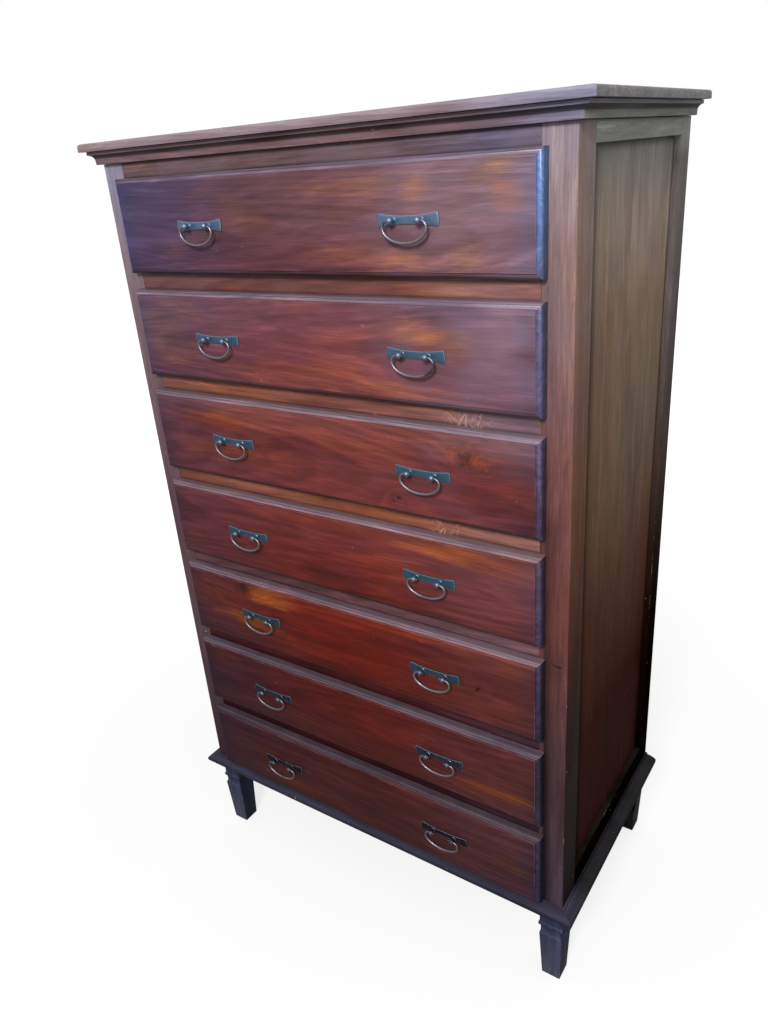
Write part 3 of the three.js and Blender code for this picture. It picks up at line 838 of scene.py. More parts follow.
# The colours by place: painted light and shade on the left, painted sheen on the right, mouldings partly
# painted sheen, painted light and shade at the rear and on faces that look sideways, end grain, and thin
# varnish
def groundOf(look, wood):
    across, deep, height = wood["axes"]
    cloud = wood["figure"]["Cloud"]
    ground = toneBy(height, look["tones"])

    def over(share, tones):
        return mixOf(share, ground, toneBy(height, look[tones]))

    # Painted light and shade on the left part: darker and purpler on the fronts, paler on the left post
    if "leftShading" in look:
        leftward = times(rangeOf(across, *look["leftAcross"]), rangeOf(cloud, *levels["left"]))
        ground = over(times(leftward, look["leftShare"]), "leftShading")
    # Painted sheen on the right part
    if "rightSheenTones" in look:
        rightward = rangeOf(across, *look["rightAcross"])
        ground = over(rightward, "rightSheenTones")
    # Mouldings take the edge tones, partly painted sheen; on the top board they give way to the right
    # sheen
    edged = times(wood["moulded"], look["mouldedShare"])
    if "sheenOverEdges" in look:
        edged = times(edged, restOf(rightward))
    ground = over(edged, "edgeTones")
    # Painted light and shade towards the back of the chest
    if "rearShading" in look:
        rearward = rangeOf(maths("SUBTRACT", deep, caseFront), *look["rearAcross"])
        ground = over(rearward, "rearShading")
    # Painted light and shade on faces that look sideways
    if "sideShading" in look:
        sideways = rangeOf(maths("ABSOLUTE", facingOf()[0]), *levels["sideways"])
        if "rearShading" in look:
            sideways = times(sideways, restOf(rearward))
        ground = over(sideways, "sideShading")
    # End grain takes its own tones; on the fronts these are a painted reflection of cool light on the
    # end mouldings
    ground = over(times(wood["endwise"], look["endShare"]), "endTones")
    if "clears" in look:
        flat = restOf(wood["moulded"])
        clear = times(largest(glowsOf(wood["place"], look["clears"])), flat)
        ground = over(times(clear, look["clearShare"]), "clearTones")
        # The flat face grows darker and bluer towards both ends
        ends = rangeOf(maths("ABSOLUTE", across), *look["endAcross"], 0.0, look["endsDarkerShare"])
        ground = mixOf(times(ends, flat), ground, look["endsDarker"] + (1,), "MULTIPLY")
    patches = rangeOf(wood["figure"]["Patches"], *levels["patches"])
    glow = largest([patches] + glowsOf(wood["place"], look["glows"]))
    glow = dimmed(glow, wood["moulded"], look["glowOffMoulding"])
    ground = mixOf(times(glow, look["amberShare"]), ground, look["amber"] + (1,), "MULTIPLY")
    shade = rangeOf(cloud, *levels["shade"])
    return mixOf(times(shade, look["stainShare"]), ground, look["stain"] + (1,), "MULTIPLY")


# Light and dark of the figure, painted highlights and shade on the mouldings, and painted shade and
# light across the fronts, rails and panel, as one strength for the ground colour
def strengthOf(look, wood):
    across, deep, height = wood["axes"]
    figure = wood["figure"]
    strength = rangeOf(figure["Streaks"], *levels["streaks"], *look["streaks"])
    # With the figure, the painted highlights and shade marked on the mouldings
    for share in (rangeOf(figure["Flame"], *levels["flame"], look["flame"]),
                  rangeOf(figure["Fibre"], *levels["fibre"], *look["fibre"]),
                  plus(look["woodBetweenRings"], figure["Rings"], -look["ringShare"]),
                  plus(1.0, figure["Pores"], -look["poreShare"]),
                  maths("ADD", attributeOf("lightAndShade"), 1.0)):
        strength = times(strength, share)
    if look["knots"]:
        strength = dimmed(strength, wood["eyes"], look["knotShare"])
    # Painted light: the fronts grow brighter towards the right
    if "litRightward" in look:
        strength = times(strength, rangeOf(across, *look["litRightward"]))
    if "shadowBesideLips" in look:
        # Painted shadow beside the right ends of the drawers, darkest low down
        lips = look["shadowBesideLips"]
        lipShadow = times(rangeOf(across, frontHigh.x + lips["reach"], frontHigh.x),
                       rangeOf(across, frontHigh.x - lips["behind"], frontHigh.x))
        lipShadow = times(lipShadow, rangeOf(height, *lips["heights"], 0.0, 1.0))
        strength = dimmed(strength, lipShadow, lips["share"])
    pitch = (frontHigh.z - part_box("drawer_front_7")[1].z) / 6
    steps = maths("DIVIDE", maths("SUBTRACT", height, frontHigh.z), pitch)
    inRow = maths("FRACT", steps)  # 1 at the upper edge of a drawer, less below it
    if "shadeAboveLips" in look:
        # A painted shade line where the rail meets the lip of the drawer below
        lips = look["shadeAboveLips"]
        strength = dimmed(strength, rangeOf(inRow, lips["reach"] / pitch, 0.0), lips["share"])
    if "litLowHalf" in look:
        # Painted light: the lower half of each front is a little paler, against the shade it takes under
        # light from above
        strength = times(strength, rangeOf(inRow, *look["litLowHalf"]))
    if "shadeAndGrime" in look:
        # Painted shade, with some grime, along the recessed edges of the panel
        edges = look["shadeAndGrime"]
        rearStart = caseBack - framePlan["rearDepth"]
        railLow = caseTop - framePlan["topRail"]
        shadeAndGrime = largest([
            rangeOf(deep, postHigh.y + edges["behindPost"], postHigh.y + edges["afterPost"]),
            rangeOf(deep, rearStart - edges["beforeRear"], rearStart),
            rangeOf(height, railLow - edges["underRail"], railLow)])
        strength = dimmed(strength, shadeAndGrime, edges["share"])
    return strength


# Painted sheen, scratches, worn places, nicks and dust over the body colour
def filmsOver(look, wood, body):
    # Painted sheen: a pale colour over the upper parts, which on the fronts grows towards the right
    sheen = times(rangeOf(wood["axes"][2], *look["sheenHeights"]),
                 rangeOf(wood["figure"]["Patches"], *levels["sheen"]))
    sheen = times(sheen, restOf(wood["endwise"]))
    if "sheenAcross" in look:
        sheen = times(sheen, rangeOf(wood["axes"][0], *look["sheenAcross"]))
    body = mixOf(times(sheen, look["sheenShare"]), body, tint(look["sheen"]))
    for x, z, size in look["scuffs"]:
        scuff = placeGroup(scuffMarks, {"Place": wood["place"], "Middle": (x, 0.0, z), "Size": size})
        body = mixOf(scuff["Scratches"], body, tint(look["scratch"]))
    body = mixOf(times(wood["wear"]["Worn"], look["wornShare"]), body, tint(look["bare"]))
    body = mixOf(times(wood["wear"]["Nicks"], look["nicks"]), body, tint(look["bare"]))
    return mixOf(wood["film"]["Dust"], body, tint(look["dust"]))


def woodFinish(name):
    look = {**commonLook, **woodLooks[name]}
    finish, shader = newFinish(name)
    place = newNode("TexCoord").outputs["Object"]
    knots = [placeGroup(knotFigure, {"Place": place, "Middle": (x, 0.0, z), "Size": size})
             for x, z, size in look["knots"]]
    figure = placeGroup(woodFigure, {
        "Place": attributeOf("grain", "Vector"), "Board": attributeOf("board"),
        "Ring Width": look["ringWidth"], "Pith Depth": look["pithDepth"], "Lean": look["lean"],
        "Wander": look["wander"], "Push": gathered("ADD", [knot["Push"] for knot in knots])})
    wear = placeGroup(arrisWear, {
        "Place": place, "Marks": attributeOf("worn"), "Amount": look["wear"]})
    film = placeGroup(dustFilm, {"Place": place, "Amount": look["dustAmount"]})
    wood = {
        "place": place, "axes": axesOf(place), "figure": figure, "wear": wear, "film": film,
        "eyes": largest([knot["Eye"] for knot in knots]),
        "moulded": attributeOf("moulded"), "endwise": attributeOf("endGrain"),
    }
    body = mixOf(1.0, groundOf(look, wood), strengthOf(look, wood), "MULTIPLY")
    feed(shader.inputs["Base Color"], filmsOver(look, wood, body))
    gloss = rangeOf(figure["Cloud"], *levels["gloss"], *look["roughness"])
    gloss = plus(plus(gloss, film["Rubbing"], look["rubbedDull"]), film["Dust"], look["dustyDull"])
    feed(shader.inputs["Roughness"], gloss)
    height = wood["axes"][2]
    specular = byHeight(height, look["specularHeights"], look["specular"])
    feed(shader.inputs["Specular IOR Level"], specular)
    feed(shader.inputs["Coat Weight"], byHeight(height, look["coatHeights"], look["coat"]))
    shader.inputs["Coat Roughness"].default_value = look["coatRoughness"]
    shares = look["relief"]
    relief = times(figure["Fibre"], shares["Fibre"])
    for label in ("Rings", "Pores", "Cloud"):
        relief = plus(relief, figure[label], shares[label])
    relief = plus(relief, wear["Nicks"], shares["Nicks"])
    raiseBy(shader, relief, *look["bump"])
    return finish


ironCommon = {
    "wear": 0.95, "blotch": (0.55, 0.55, 0.6), "blotchShare": 0.5, "blotchDull": 0.14, "rustShare": 0.5,
    "rustDull": 0.2, "metal": 0.85, "metalLost": 0.5, "bump": (0.4, 0.0002),
    "blotches": ((120, 120, 120), 4.0, 0.65), "blotchLevels": (0.35, 0.68),
    "spots": ((210, 210, 210), 3.0, 0.6), "spotLevels": (0.62, 0.72),
    "hammered": ((500, 500, 500), 3.0, 0.6),
}
ironLooks = {
    "plate iron": {
        # The plates grow paler and bluer upward: a painted reflection of cool light
        "tones": "0.24 3c3444, 0.42 44566c, 0.7 5684a0, 1.03 688eac, 1.2 84a0c4",
        "bright": "c4ccd8", "rust": "5c4c4c", "worn": 0.7, "roughness": 0.42, **ironCommon,
    },
    "bail iron": {
        "tones": "0.24 4a4450, 0.6 5c5660, 1.2 6c6672",
        "bright": "c4b8c4", "rust": "54403a", "worn": 0.6, "roughness": 0.36, **ironCommon,
    },
}


def ironFinish(name):
    look = ironLooks[name]
    finish, shader = newFinish(name)
    place = newNode("TexCoord").outputs["Object"]
    wear = placeGroup(arrisWear, {
        "Place": place, "Marks": attributeOf("worn"), "Amount": look["wear"]})
    blotches = rangeOf(noiseOf(place, *look["blotches"]), *look["blotchLevels"])
    spots = rangeOf(noiseOf(place, *look["spots"]), *look["spotLevels"])
    body = toneBy(axesOf(place)[2], look["tones"])
    body = mixOf(times(blotches, look["blotchShare"]), body, look["blotch"] + (1,), "MULTIPLY")
    body = mixOf(times(spots, look["rustShare"]), body, tint(look["rust"]))
    body = mixOf(times(wear["Worn"], look["worn"]), body, tint(look["bright"]))
    feed(shader.inputs["Base Color"], body)
    dull = plus(plus(look["roughness"], blotches, look["blotchDull"]), spots, look["rustDull"])
    feed(shader.inputs["Roughness"], dull)
    feed(shader.inputs["Metallic"], plus(look["metal"], spots, -look["metalLost"]))
    raiseBy(shader, noiseOf(place, *look["hammered"]), *look["bump"])
    return finish


finishes = {name: woodFinish(name) for name in woodLooks}
finishes.update({name: ironFinish(name) for name in ironLooks})
print("stage: finishes ready")


# Top board: four boards glued along their length, rounded along the upper front and side edges
topPlan = {"boards": 4, "nose": 0.0042, "noseSteps": 4, "seam": 0.0004}


def buildTop():
    low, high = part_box("top_board")
    boards = []
    width = (high.y - low.y) / topPlan["boards"]
    for place in range(topPlan["boards"]):
        start = low.y + place * width
        board = addBlock("topStrip", (low.x, start, low.z), (high.x, start + width, high.z))
        roundEdges(board, topPlan["nose"], topPlan["noseSteps"],
                   lambda middle, way: near(middle.z, high.z)
                   and (near(abs(middle.x), high.x) or (start == low.y and near(middle.y, low.y))))
        roundEdges(board, topPlan["seam"], 1,
                   lambda middle, way: near(middle.z, high.z) and abs(way.x) > 0.99)
        boards.append(layGrain(board, "xz", 3.0 + place))
    settle(smoothed(joinPieces("topBoard", boards)), "case", "case_wood", "top wood", "top_board")


# Mouldings: a bar along the front and one along each side, mitred at the front corners
def mitredMoulding(name, outline, reaches, inner, node, slot, finish, board):
    sideReach, frontReach = reaches
    way = Vector((frontReach, sideReach, 0)).normalized()  # along the front, then across the mitre
    spare = 0.01
    section = [(caseFront - out, up) for out, up in outline(frontReach)]
    section += [(caseFront + inner, section[-1][1]), (caseFront + inner, section[0][1])]
    end = halfCase + sideReach + spare
    bar = addBar(name + "Front", section, "x", -end, end)
    for side in (-1, 1):
        cutOff(bar, (side * halfCase, caseFront, 0), (side * way.x, way.y, 0))
    lengths = [layGrain(bar, "xy", board)]
    for label, side in sides.items():
        section = [(side * (halfCase + out), up) for out, up in outline(sideReach)]
        behind = side * (halfCase - inner)
        section += [(behind, section[-1][1]), (behind, section[0][1])]
        bar = addBar(name + label.capitalize(), section, "y", caseFront - frontReach - spare, caseBack)
        cutOff(bar, (side * halfCase, caseFront, 0), (-side * way.x, -way.y, 0))
        lengths.append(layGrain(bar, "yx", board + side))

    def isOutside(face):
        return abs(face.center.x) > halfCase + 0.0005 or face.center.y < caseFront - 0.0005

    for length in lengths:
        markFaces(length, "moulded", 0.7, lambda face: isOutside(face) and abs(face.normal.z) < 0.97)
        # Faces that look down are painted in shade
        markFaces(length, "lightAndShade", -0.7, lambda face: face.normal.z < -0.35)
        settle(smoothed(length, 24), "case", slot, finish, node)


# The board that fills a moulding, and the rail behind the lip of the nearest drawer
def filling(name, plan, node, slot, finish, board):
    inner = plan["inner"]
    core = addBlock(name + "Core", (-halfCase + inner, caseFront + inner, plan["bottom"]),
                    (halfCase - inner, caseBack, plan["top"]))
    roundAll(core, plan["coreArris"], 1)
    settle(layGrain(core, "xz", board), "case", slot, finish, node)


def frontRail(name, plan, low, high, node, slot, finish, board):
    end = halfOpening - glueLine
    rail = addBlock(name, (-end, caseFront, low), (end, caseFront + plan["railDepth"], high))
    roundAll(rail, plan["railArris"], 2)
    settle(smoothed(layGrain(rail, "xy", board)), "case", slot, finish, node)


cornicePlan = {
    "bottom": 1.2707, "top": 1.2887, "reach": (0.015, 0.0147), "inner": 0.045, "tip": 0.0006,
    "coreArris": 0.0005, "railDepth": 0.04, "railArris": 0.0006,
}


def corniceOutline(reach):
    bottom = cornicePlan["bottom"]
    top = cornicePlan["top"]
    tip = cornicePlan["tip"]
    height = top - bottom
    cove = arcPoints((reach, bottom + 0.3 * height), -0.51 * reach, 0.44 * height, 0, 90, 9)
    start = [(0.46 * reach, bottom), (0.475 * reach, bottom + 0.02 * height)]
    return start + cove + [(reach, top - tip), (reach - tip, top)]


def buildCornice():
    plan = cornicePlan
    kind = ("cornice", "case_wood")
    mitredMoulding("cornice", corniceOutline, plan["reach"], plan["inner"], *kind, "top wood", 11.0)
    filling("cornice", plan, *kind, "top wood", 15.0)
    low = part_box("cornice")[0].z
    frontRail("topRail", plan, low, plan["bottom"] - touch, *kind, "rail wood", 16.0)


basePlan = {
    "bottom": 0.1436, "top": 0.1721, "reach": (0.02, 0.017), "inner": 0.06,
    "coreArris": 0.0005, "railDepth": 0.04, "railArris": 0.0006,
}
# Share of the reach and of the height, from the underside up
baseShares = [
    (0.42, 0), (0.45, 0.14), (0.52, 0.2), (0.62, 0.25), (0.74, 0.31), (0.86, 0.365), (0.94, 0.4),
    (0.99, 0.43), (1, 0.46), (1, 0.6), (0.985, 0.64), (0.93, 0.69), (0.84, 0.735), (0.72, 0.775),
    (0.58, 0.81), (0.44, 0.84), (0.31, 0.865), (0.2, 0.88), (0.16, 0.89), (0.16, 1),
]


def baseOutline(reach):
    height = basePlan["top"] - basePlan["bottom"]
    return [(out * reach, basePlan["bottom"] + up * height) for out, up in baseShares]


def buildBase():
    plan = basePlan
    kind = ("base_board", "base_wood", "base wood")
    mitredMoulding("baseMoulding", baseOutline, plan["reach"], plan["inner"], *kind, 21.0)
    filling("base", plan, *kind, 25.0)
    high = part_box("base_board")[1].z
    frontRail("lowRail", plan, plan["top"] + touch, high, *kind, 26.0)


buildTop()
buildCornice()
buildBase()
print("stage: top, cornice and base built")


# Front posts, with a groove that holds the side panel, and the framed sides
postPlan = {"arris": 0.0013, "grooveOuter": 0.0087, "grooveInner": 0.0173, "groove": 0.008}


def buildPosts():
    low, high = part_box("front_post_right")
    plan = postPlan
    for label, side in sides.items():
        radius = plan["arris"]
        arris = arcPoints((halfCase - radius, low.y + radius), radius, -radius, 90, 0, 4)
        outer = halfCase - plan["grooveOuter"]
        inner = halfCase - plan["grooveInner"]
        seat = high.y - plan["groove"]
        groove = [(outer, high.y), (outer, seat), (inner, seat), (inner, high.y)]
        outline = [(low.x, low.y)] + arris + [(halfCase, high.y)] + groove + [(low.x, high.y)]
        section = [(side * x, y) for x, y in outline]
        post = addBar("frontPost" + label.capitalize(), section, "z", low.z, high.z)
        markFaces(post, "worn", 1.0,
                  lambda face: 0.1 < side * face.normal.x < 0.97 and face.normal.y < -0.1)
        layGrain(post, "zy", 31.0 + side)
        settle(smoothed(post), "case", "case_wood", "post wood", "front_post_" + label)


def buildSide(label, side):
    plan = framePlan
    node = "side_panel_" + label
    postEnd = postHigh.y + glueLine
    rearStart = caseBack - plan["rearDepth"]
    outer = halfCase
    rabbet = halfOpening + plan["rabbet"]
    seat = caseBack - plan["rabbetDepth"]
    section = [(halfOpening, rearStart), (outer, rearStart), (outer, caseBack), (rabbet, caseBack),
               (rabbet, seat), (halfOpening, seat)]
    title = label.capitalize()
    post = addBar("rearPost" + title, [(side * x, y) for x, y in section], "z", caseBottom, caseTop)
    roundEdges(post, plan["arris"], 2,
               lambda middle, way: abs(way.z) > 0.9 and near(abs(middle.x), outer))
    settle(smoothed(layGrain(post, "zy", 41.0 + side)), "case", "panel_wood", "frame wood", node)
    across = sorted((side * outer, side * (outer - plan["railThick"])))
    for name, low, high in (("upperSideRail", caseTop - plan["topRail"], caseTop),
                            ("lowerSideRail", caseBottom, caseBottom + plan["lowRail"])):
        rail = addBlock(name + title, (across[0], postEnd, low), (across[1], rearStart - touch, high))
        roundEdges(rail, plan["arris"], 2,
                   lambda middle, way: abs(way.y) > 0.9 and near(abs(middle.x), outer))
        layGrain(rail, "yx", 45.0 + side + low)
        settle(smoothed(rail), "case", "panel_wood", "frame wood", node)
    face = outer - plan["panelOut"]
    across = sorted((side * face, side * (face - plan["panelThick"])))
    low = (across[0], postEnd - plan["panelInPost"], caseBottom + plan["lowRail"] - plan["inFrame"])
    high = (across[1], rearStart + plan["panelInRear"], caseTop - plan["topRail"] + plan["inFrame"])
    boards = addBoards("panelStrip", low, high, 1, plan["panelBoards"], plan["panelSeam"],
                       runsAlong("z"), "zx", 51.0 + side * 4)
    settle(joinPieces("sidePanel" + title, boards), "case", "panel_wood", "panel wood", node)


runnerPlan = {"bearing": 0.015, "clear": 0.0015, "guide": 0.012, "deep": 0.0361, "edge": 0.0008}


def buildRunners(label, side):
    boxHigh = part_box("drawer_box_1")[1]
    plan = runnerPlan
    ledge = boxHigh.x - plan["bearing"]
    guide = boxHigh.x + plan["clear"]
    outer = halfCase - framePlan["panelOut"] - framePlan["panelThick"] - touch
    rearEnd = caseBack - framePlan["rearDepth"] - touch
    runners = []
    for row in rows:
        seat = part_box(f"drawer_box_{row}")[0].z - glueLine
        foundation = max(seat - plan["deep"], caseBottom)
        section = [(ledge, foundation), (outer, foundation), (outer, seat + plan["guide"]),
                   (guide, seat + plan["guide"]), (guide, seat), (ledge, seat)]
        outline = [(side * x, z) for x, z in section]
        runner = addBar("runner", outline, "y", postHigh.y + glueLine, rearEnd)
        roundEdges(runner, plan["edge"], 1, runsAlong("y"))
        runners.append(layGrain(runner, "yx", 61.0 + row + 10 * side))
    whole = joinPieces("runners" + label.capitalize(), runners)
    settle(whole, "case", "raw_wood", "bare wood", "side_panel_" + label)


backPlan = {
    "boards": 6, "seam": 0.0008, "nailRadius": 0.0022, "nailRise": 0.0004, "nailLength": 0.0016,
    "nailInset": 0.012, "nailArris": 0.0003,
}


def buildBack():
    low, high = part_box("back_panel")
    plan = backPlan
    boards = addBoards("backStrip", low, (high.x, high.y - plan["nailRise"], high.z), 0, plan["boards"],
                       plan["seam"], runsAlong("z"), "zy", 71.0)
    settle(joinPieces("backBoards", boards), "case", "raw_wood", "bare wood", "back_panel")
    width = (high.x - low.x) / plan["boards"]
    nails = []
    for place in range(plan["boards"]):
        for share in (0.25, 0.75):
            x = low.x + (place + share) * width
            for z in (low.z + plan["nailInset"], (low.z + high.z) / 2, high.z - plan["nailInset"]):
                middle = (x, high.y - plan["nailLength"] / 2, z)
                nails.append(addRod(middle, "y", plan["nailRadius"], plan["nailLength"], 10))
    heads = joinPieces("backNails", nails)
    roundEdges(heads, plan["nailArris"], 1, liesAt("y", high.y))
    settle(heads, "case", "iron", "bail iron", "back_panel")


railPlan = {"arris": 0.0008}


def buildRails():
    for row in range(1, 7):
        low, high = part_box(f"drawer_rail_{row}")
        rail = addBlock(f"rail{row}", low, high)
        roundEdges(rail, railPlan["arris"], 2, liesAt("y", low.y))
        layGrain(rail, "xy", 81.0 + row)
        settle(smoothed(rail), "case", "case_wood", "rail wood", f"drawer_rail_{row}")


buildPosts()
for label, side in sides.items():
    buildSide(label, side)
    buildRunners(label, side)
buildBack()
buildRails()
print("stage: posts, sides, back and rails built")


# Feet: extruded upward from the sole, level by level
footLevels = [  # height, middle from the case's outer face, half width
    (0.0012, 0.0205, 0.0155), (0.0935, 0.02025, 0.01925), (0.0965, 0.0206, 0.01775),
    (0.099, 0.02075, 0.01725), (0.108, 0.02075, 0.01725), (0.1105, 0.0207, 0.0183),
    (0.1128, 0.02075, 0.0199), (0.1138, 0.02075, 0.0203), (0.1163, 0.02075, 0.0203),
    (0.1173, 0.02075, 0.0199), (0.1193, 0.021, 0.0185), (0.1433, 0.021, 0.0185),
]
footPlan = {
    "soleHalf": 0.0149, "soleMiddle": 0.0205, "soleArris": 0.0006, "arris": 0.0009, "dowel": 0.009,
    "dowelLength": 0.018, "dowelShift": 0.0005, "dowelSunk": 0.002,
}


def buildFoot():
    plan = footPlan
    x = halfCase - plan["soleMiddle"]
    y = caseFront + plan["soleMiddle"]
    half = plan["soleHalf"]
    place = plan["soleMiddle"]
    height = plan["soleArris"]
    foot = addBlock("foot", (x - half, y - half, 0), (x + half, y + half, height))
    pickFaces(foot, lambda middle, normal: normal.z > 0.9)
    for level, newPlace, newHalf in footLevels:
        pushOut((place - newPlace, newPlace - place, level - height))
        bpy.ops.transform.resize(value=(newHalf / half, newHalf / half, 1))
        height, place, half = level, newPlace, newHalf
    closeEdit()
    roundEdges(foot, plan["arris"], 2, lambda middle, way: abs(way.z) > 0.3 and middle.z > 0.001)
    shift = plan["dowelShift"]
    middle = (x - shift, y + shift, height + (plan["dowelLength"] - plan["dowelSunk"]) / 2)
    dowel = addRod(middle, "z", plan["dowel"], plan["dowelLength"] + plan["dowelSunk"], 20)
    return joinPieces("foot", [foot, dowel])


def buildFeet():
    model = buildFoot()
    layGrain(model, "zy", 91.0)
    for label, side in sides.items():
        front = copyTo(model, "footFront" + label.capitalize(), (0, 0, 0), side < 0)
        layGrain(front, "zy", 91.0 + side)
        settle(smoothed(front), "case", "base_wood", "base wood", "foot_front_" + label)
        rear = copyTo(model, "footRear" + label.capitalize(), (0, 0, 0), side < 0)
        rear.data.transform(Matrix.Scale(-1, 4, (0, 1, 0)))
        rear.data.transform(Matrix.Translation((0, caseFront + caseBack, 0)))
        faceOutward(rear)
        layGrain(rear, "zy", 94.0 + side)
        settle(smoothed(rear), "case", "base_wood", "base wood", "foot_rear_" + label)
    bpy.data.objects.remove(model)


buildFeet()
print("stage: feet built")


# Drawer front: a lipped board with a round moulding, a quirk and a raised face
frontPlan = {
    "raised": 0.0021, "ovolo": 0.0064, "ovoloSteps": 6, "quirk": 0.0009, "faceArris": 0.0005,
    "endStrips": (-0.55, -0.3, -0.1, 0.02, -0.1, -0.3),
    "longStrips": (-0.2, 0.2, -0.35, 0.34, 0.5, -0.6),
    "lowStrips": (-0.85, -0.85, -0.8, -0.65, -0.4, -0.5),
    "backLip": (0.01, 0.0075), "tongue": 0.0083, "hole": 0.0026, "drill": 0.06, "spacing": 0.34,
    "posts": 0.038,
}


def buildFront():
    plan = frontPlan
    low = frontLow
    high = frontHigh
    middle = frontMiddle
    lipBack = high.y - plan["tongue"]
    front = addBlock("front", (low.x, low.y + plan["raised"], low.z), (high.x, lipBack, high.z))
    pickEdges(front, liesAt("y", low.y + plan["raised"]))
    bpy.ops.mesh.bevel(offset=plan["ovolo"], segments=plan["ovoloSteps"], affect="EDGES", profile=0.5)
    closeEdit()
    inside = plan["ovolo"] + plan["quirk"] / 2
    markFaces(front, "moulded", 1.0, lambda face: abs(face.center.x) > high.x - inside
              or abs(face.center.z - middle) > high.z - middle - inside)
    # Painted highlights and shade: paler and darker strips along the mouldings, outermost first, the
    # lower moulding painted dark
    for strips, way in (("endStrips", Vector((1, 0, 0))), ("endStrips", Vector((-1, 0, 0))),
                        ("longStrips", Vector((0, 0, 1))), ("lowStrips", Vector((0, 0, -1)))):
        reach = high.x if way.x else high.z - middle

        def isInStrip(face):
            inward = (reach - way.dot(face.center - Vector((0, 0, middle)))) / inside * len(plan[strips])
            return place <= inward + 0.001 < place + 1 and face.normal.dot(way) > 0.02

        for place, lightAndShade in enumerate(plan[strips]):
            markFaces(front, "lightAndShade", lightAndShade, isInStrip)
            if way.x:
                markFaces(front, "endGrain", 1.0, isInStrip)
            if way.z < 0:
                markFaces(front, "moulded", 0.2, isInStrip)
    pickFaces(front, lambda place, normal: normal.y < -0.9999)
    bpy.ops.mesh.inset(thickness=plan["quirk"])
    pushOut((0, -plan["raised"], 0))
    closeEdit()
    roundEdges(front, plan["faceArris"], 2, liesAt("y", low.y))
    # The tongue that enters the opening
    pickFaces(front, lambda place, normal: normal.y > 0.99)
    bpy.ops.mesh.inset(thickness=plan["backLip"][1])
    halfNow = high.x - plan["backLip"][1]
    bpy.ops.transform.resize(value=((high.x - plan["backLip"][0]) / halfNow, 1, 1))
    pushOut((0, plan["tongue"], 0))
    closeEdit()
    drills = []
    for handle in (-1, 1):
        for post in (-1, 1):
            x = (handle * plan["spacing"] + post * plan["posts"]) / 2
            spot = (x, (low.y + high.y) / 2, middle)
            drills.append(addRod(spot, "y", plan["hole"], plan["drill"], 14))
    cutWith(front, joinPieces("drills", drills))
    return front


boxPlan = {
    "side": 0.011, "back": 0.011, "backDrop": 0.004, "bottom": 0.005, "rise": 0.009, "house": 0.004,
    "arris": 0.0012, "frontGap": 0.0005, "rearGap": 0.0008,
}


def buildBox():
    plan = boxPlan
    low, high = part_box("drawer_box_1")
    boards = []
    for side in (-1, 1):
        across = sorted((side * high.x, side * (high.x - plan["side"])))
        board = addBlock("boxSide", (across[0], low.y, low.z), (across[1], high.y, high.z))
        roundEdges(board, plan["arris"], 2, liesAt("z", high.z))
        boards.append(layGrain(board, "yx", 101.0 + side))
    inner = high.x - plan["side"]
    bottomLow = low.z + plan["rise"]
    backTop = high.z - plan["backDrop"]
    back = addBlock("boxBack", (-inner, high.y - plan["back"], bottomLow), (inner, high.y, backTop))
    roundEdges(back, plan["arris"], 2, liesAt("z", backTop))
    boards.append(layGrain(back, "xy", 104.0))
    housed = high.x - plan["house"]
    bottom = addBlock("boxBottom", (-housed, low.y + plan["frontGap"], bottomLow),
                      (housed, high.y - plan["rearGap"], bottomLow + plan["bottom"]))
    boards.append(layGrain(bottom, "xz", 105.0))
    return joinPieces("box", boards)


# The way from the top drawer to the same place in another row
def dropTo(row, across=0):
    return Vector((across, 0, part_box(f"drawer_front_{row}")[0].z - frontLow.z))


def buildDrawers():
    front = buildFront()
    box = buildBox()
    for row in rows:
        drop = dropTo(row)
        newFront = copyTo(front, f"drawerFront{row}", drop)
        layGrain(newFront, "xy", 200.0 + row)
        settle(smoothed(newFront), f"drawer_{row}", "front_wood", "front wood", f"drawer_front_{row}")
        newBox = copyTo(box, f"drawerBox{row}", drop)
        for mark in newBox.data.attributes["board"].data:
            mark.value += row * 7
        settle(smoothed(newBox), f"drawer_{row}", "raw_wood", "bare wood", f"drawer_box_{row}")
    bpy.data.objects.remove(front)
    bpy.data.objects.remove(box)


buildDrawers()
print("stage: drawers built")


# Handles: a thin plate with hollow long edges, two ball headed posts and a swinging bail
handlePlan = {
    "half": 0.041, "endHeight": 0.0085, "waist": 0.0048, "waistShare": 0.16, "bulge": 0.0012,
    "thick": 0.0016, "arris": 0.0005, "corner": 0.1, "cornerStart": 0.9, "columns": 24, "rows": 4,
    "posts": 0.019, "gap": 0.0003,
    "reach": 0.0078, "ball": 0.0044, "bore": 0.0022, "boreDrill": 0.02, "neck": 0.0022, "neckStart": 0.8,
    "collar": 0.0036, "collarSpan": (-0.0012, 0.0004), "nut": 0.0046, "nutThick": 0.0032,
    "nutSunk": 0.0002, "rodArris": 0.0003,
}
handleSpacing = frontPlan["spacing"]
plateBack = frontLow.y - handlePlan["gap"]
plateFront = plateBack - handlePlan["thick"]
bailAxis = plateFront - handlePlan["reach"]
bailPlan = {
    "wire": 0.0019, "half": 0.03, "drop": 0.025, "shoulder": 0.008, "stub": 0.0055, "taper": 0.78,
    "taperRate": 1.5, "gripDrop": 0.015,
}


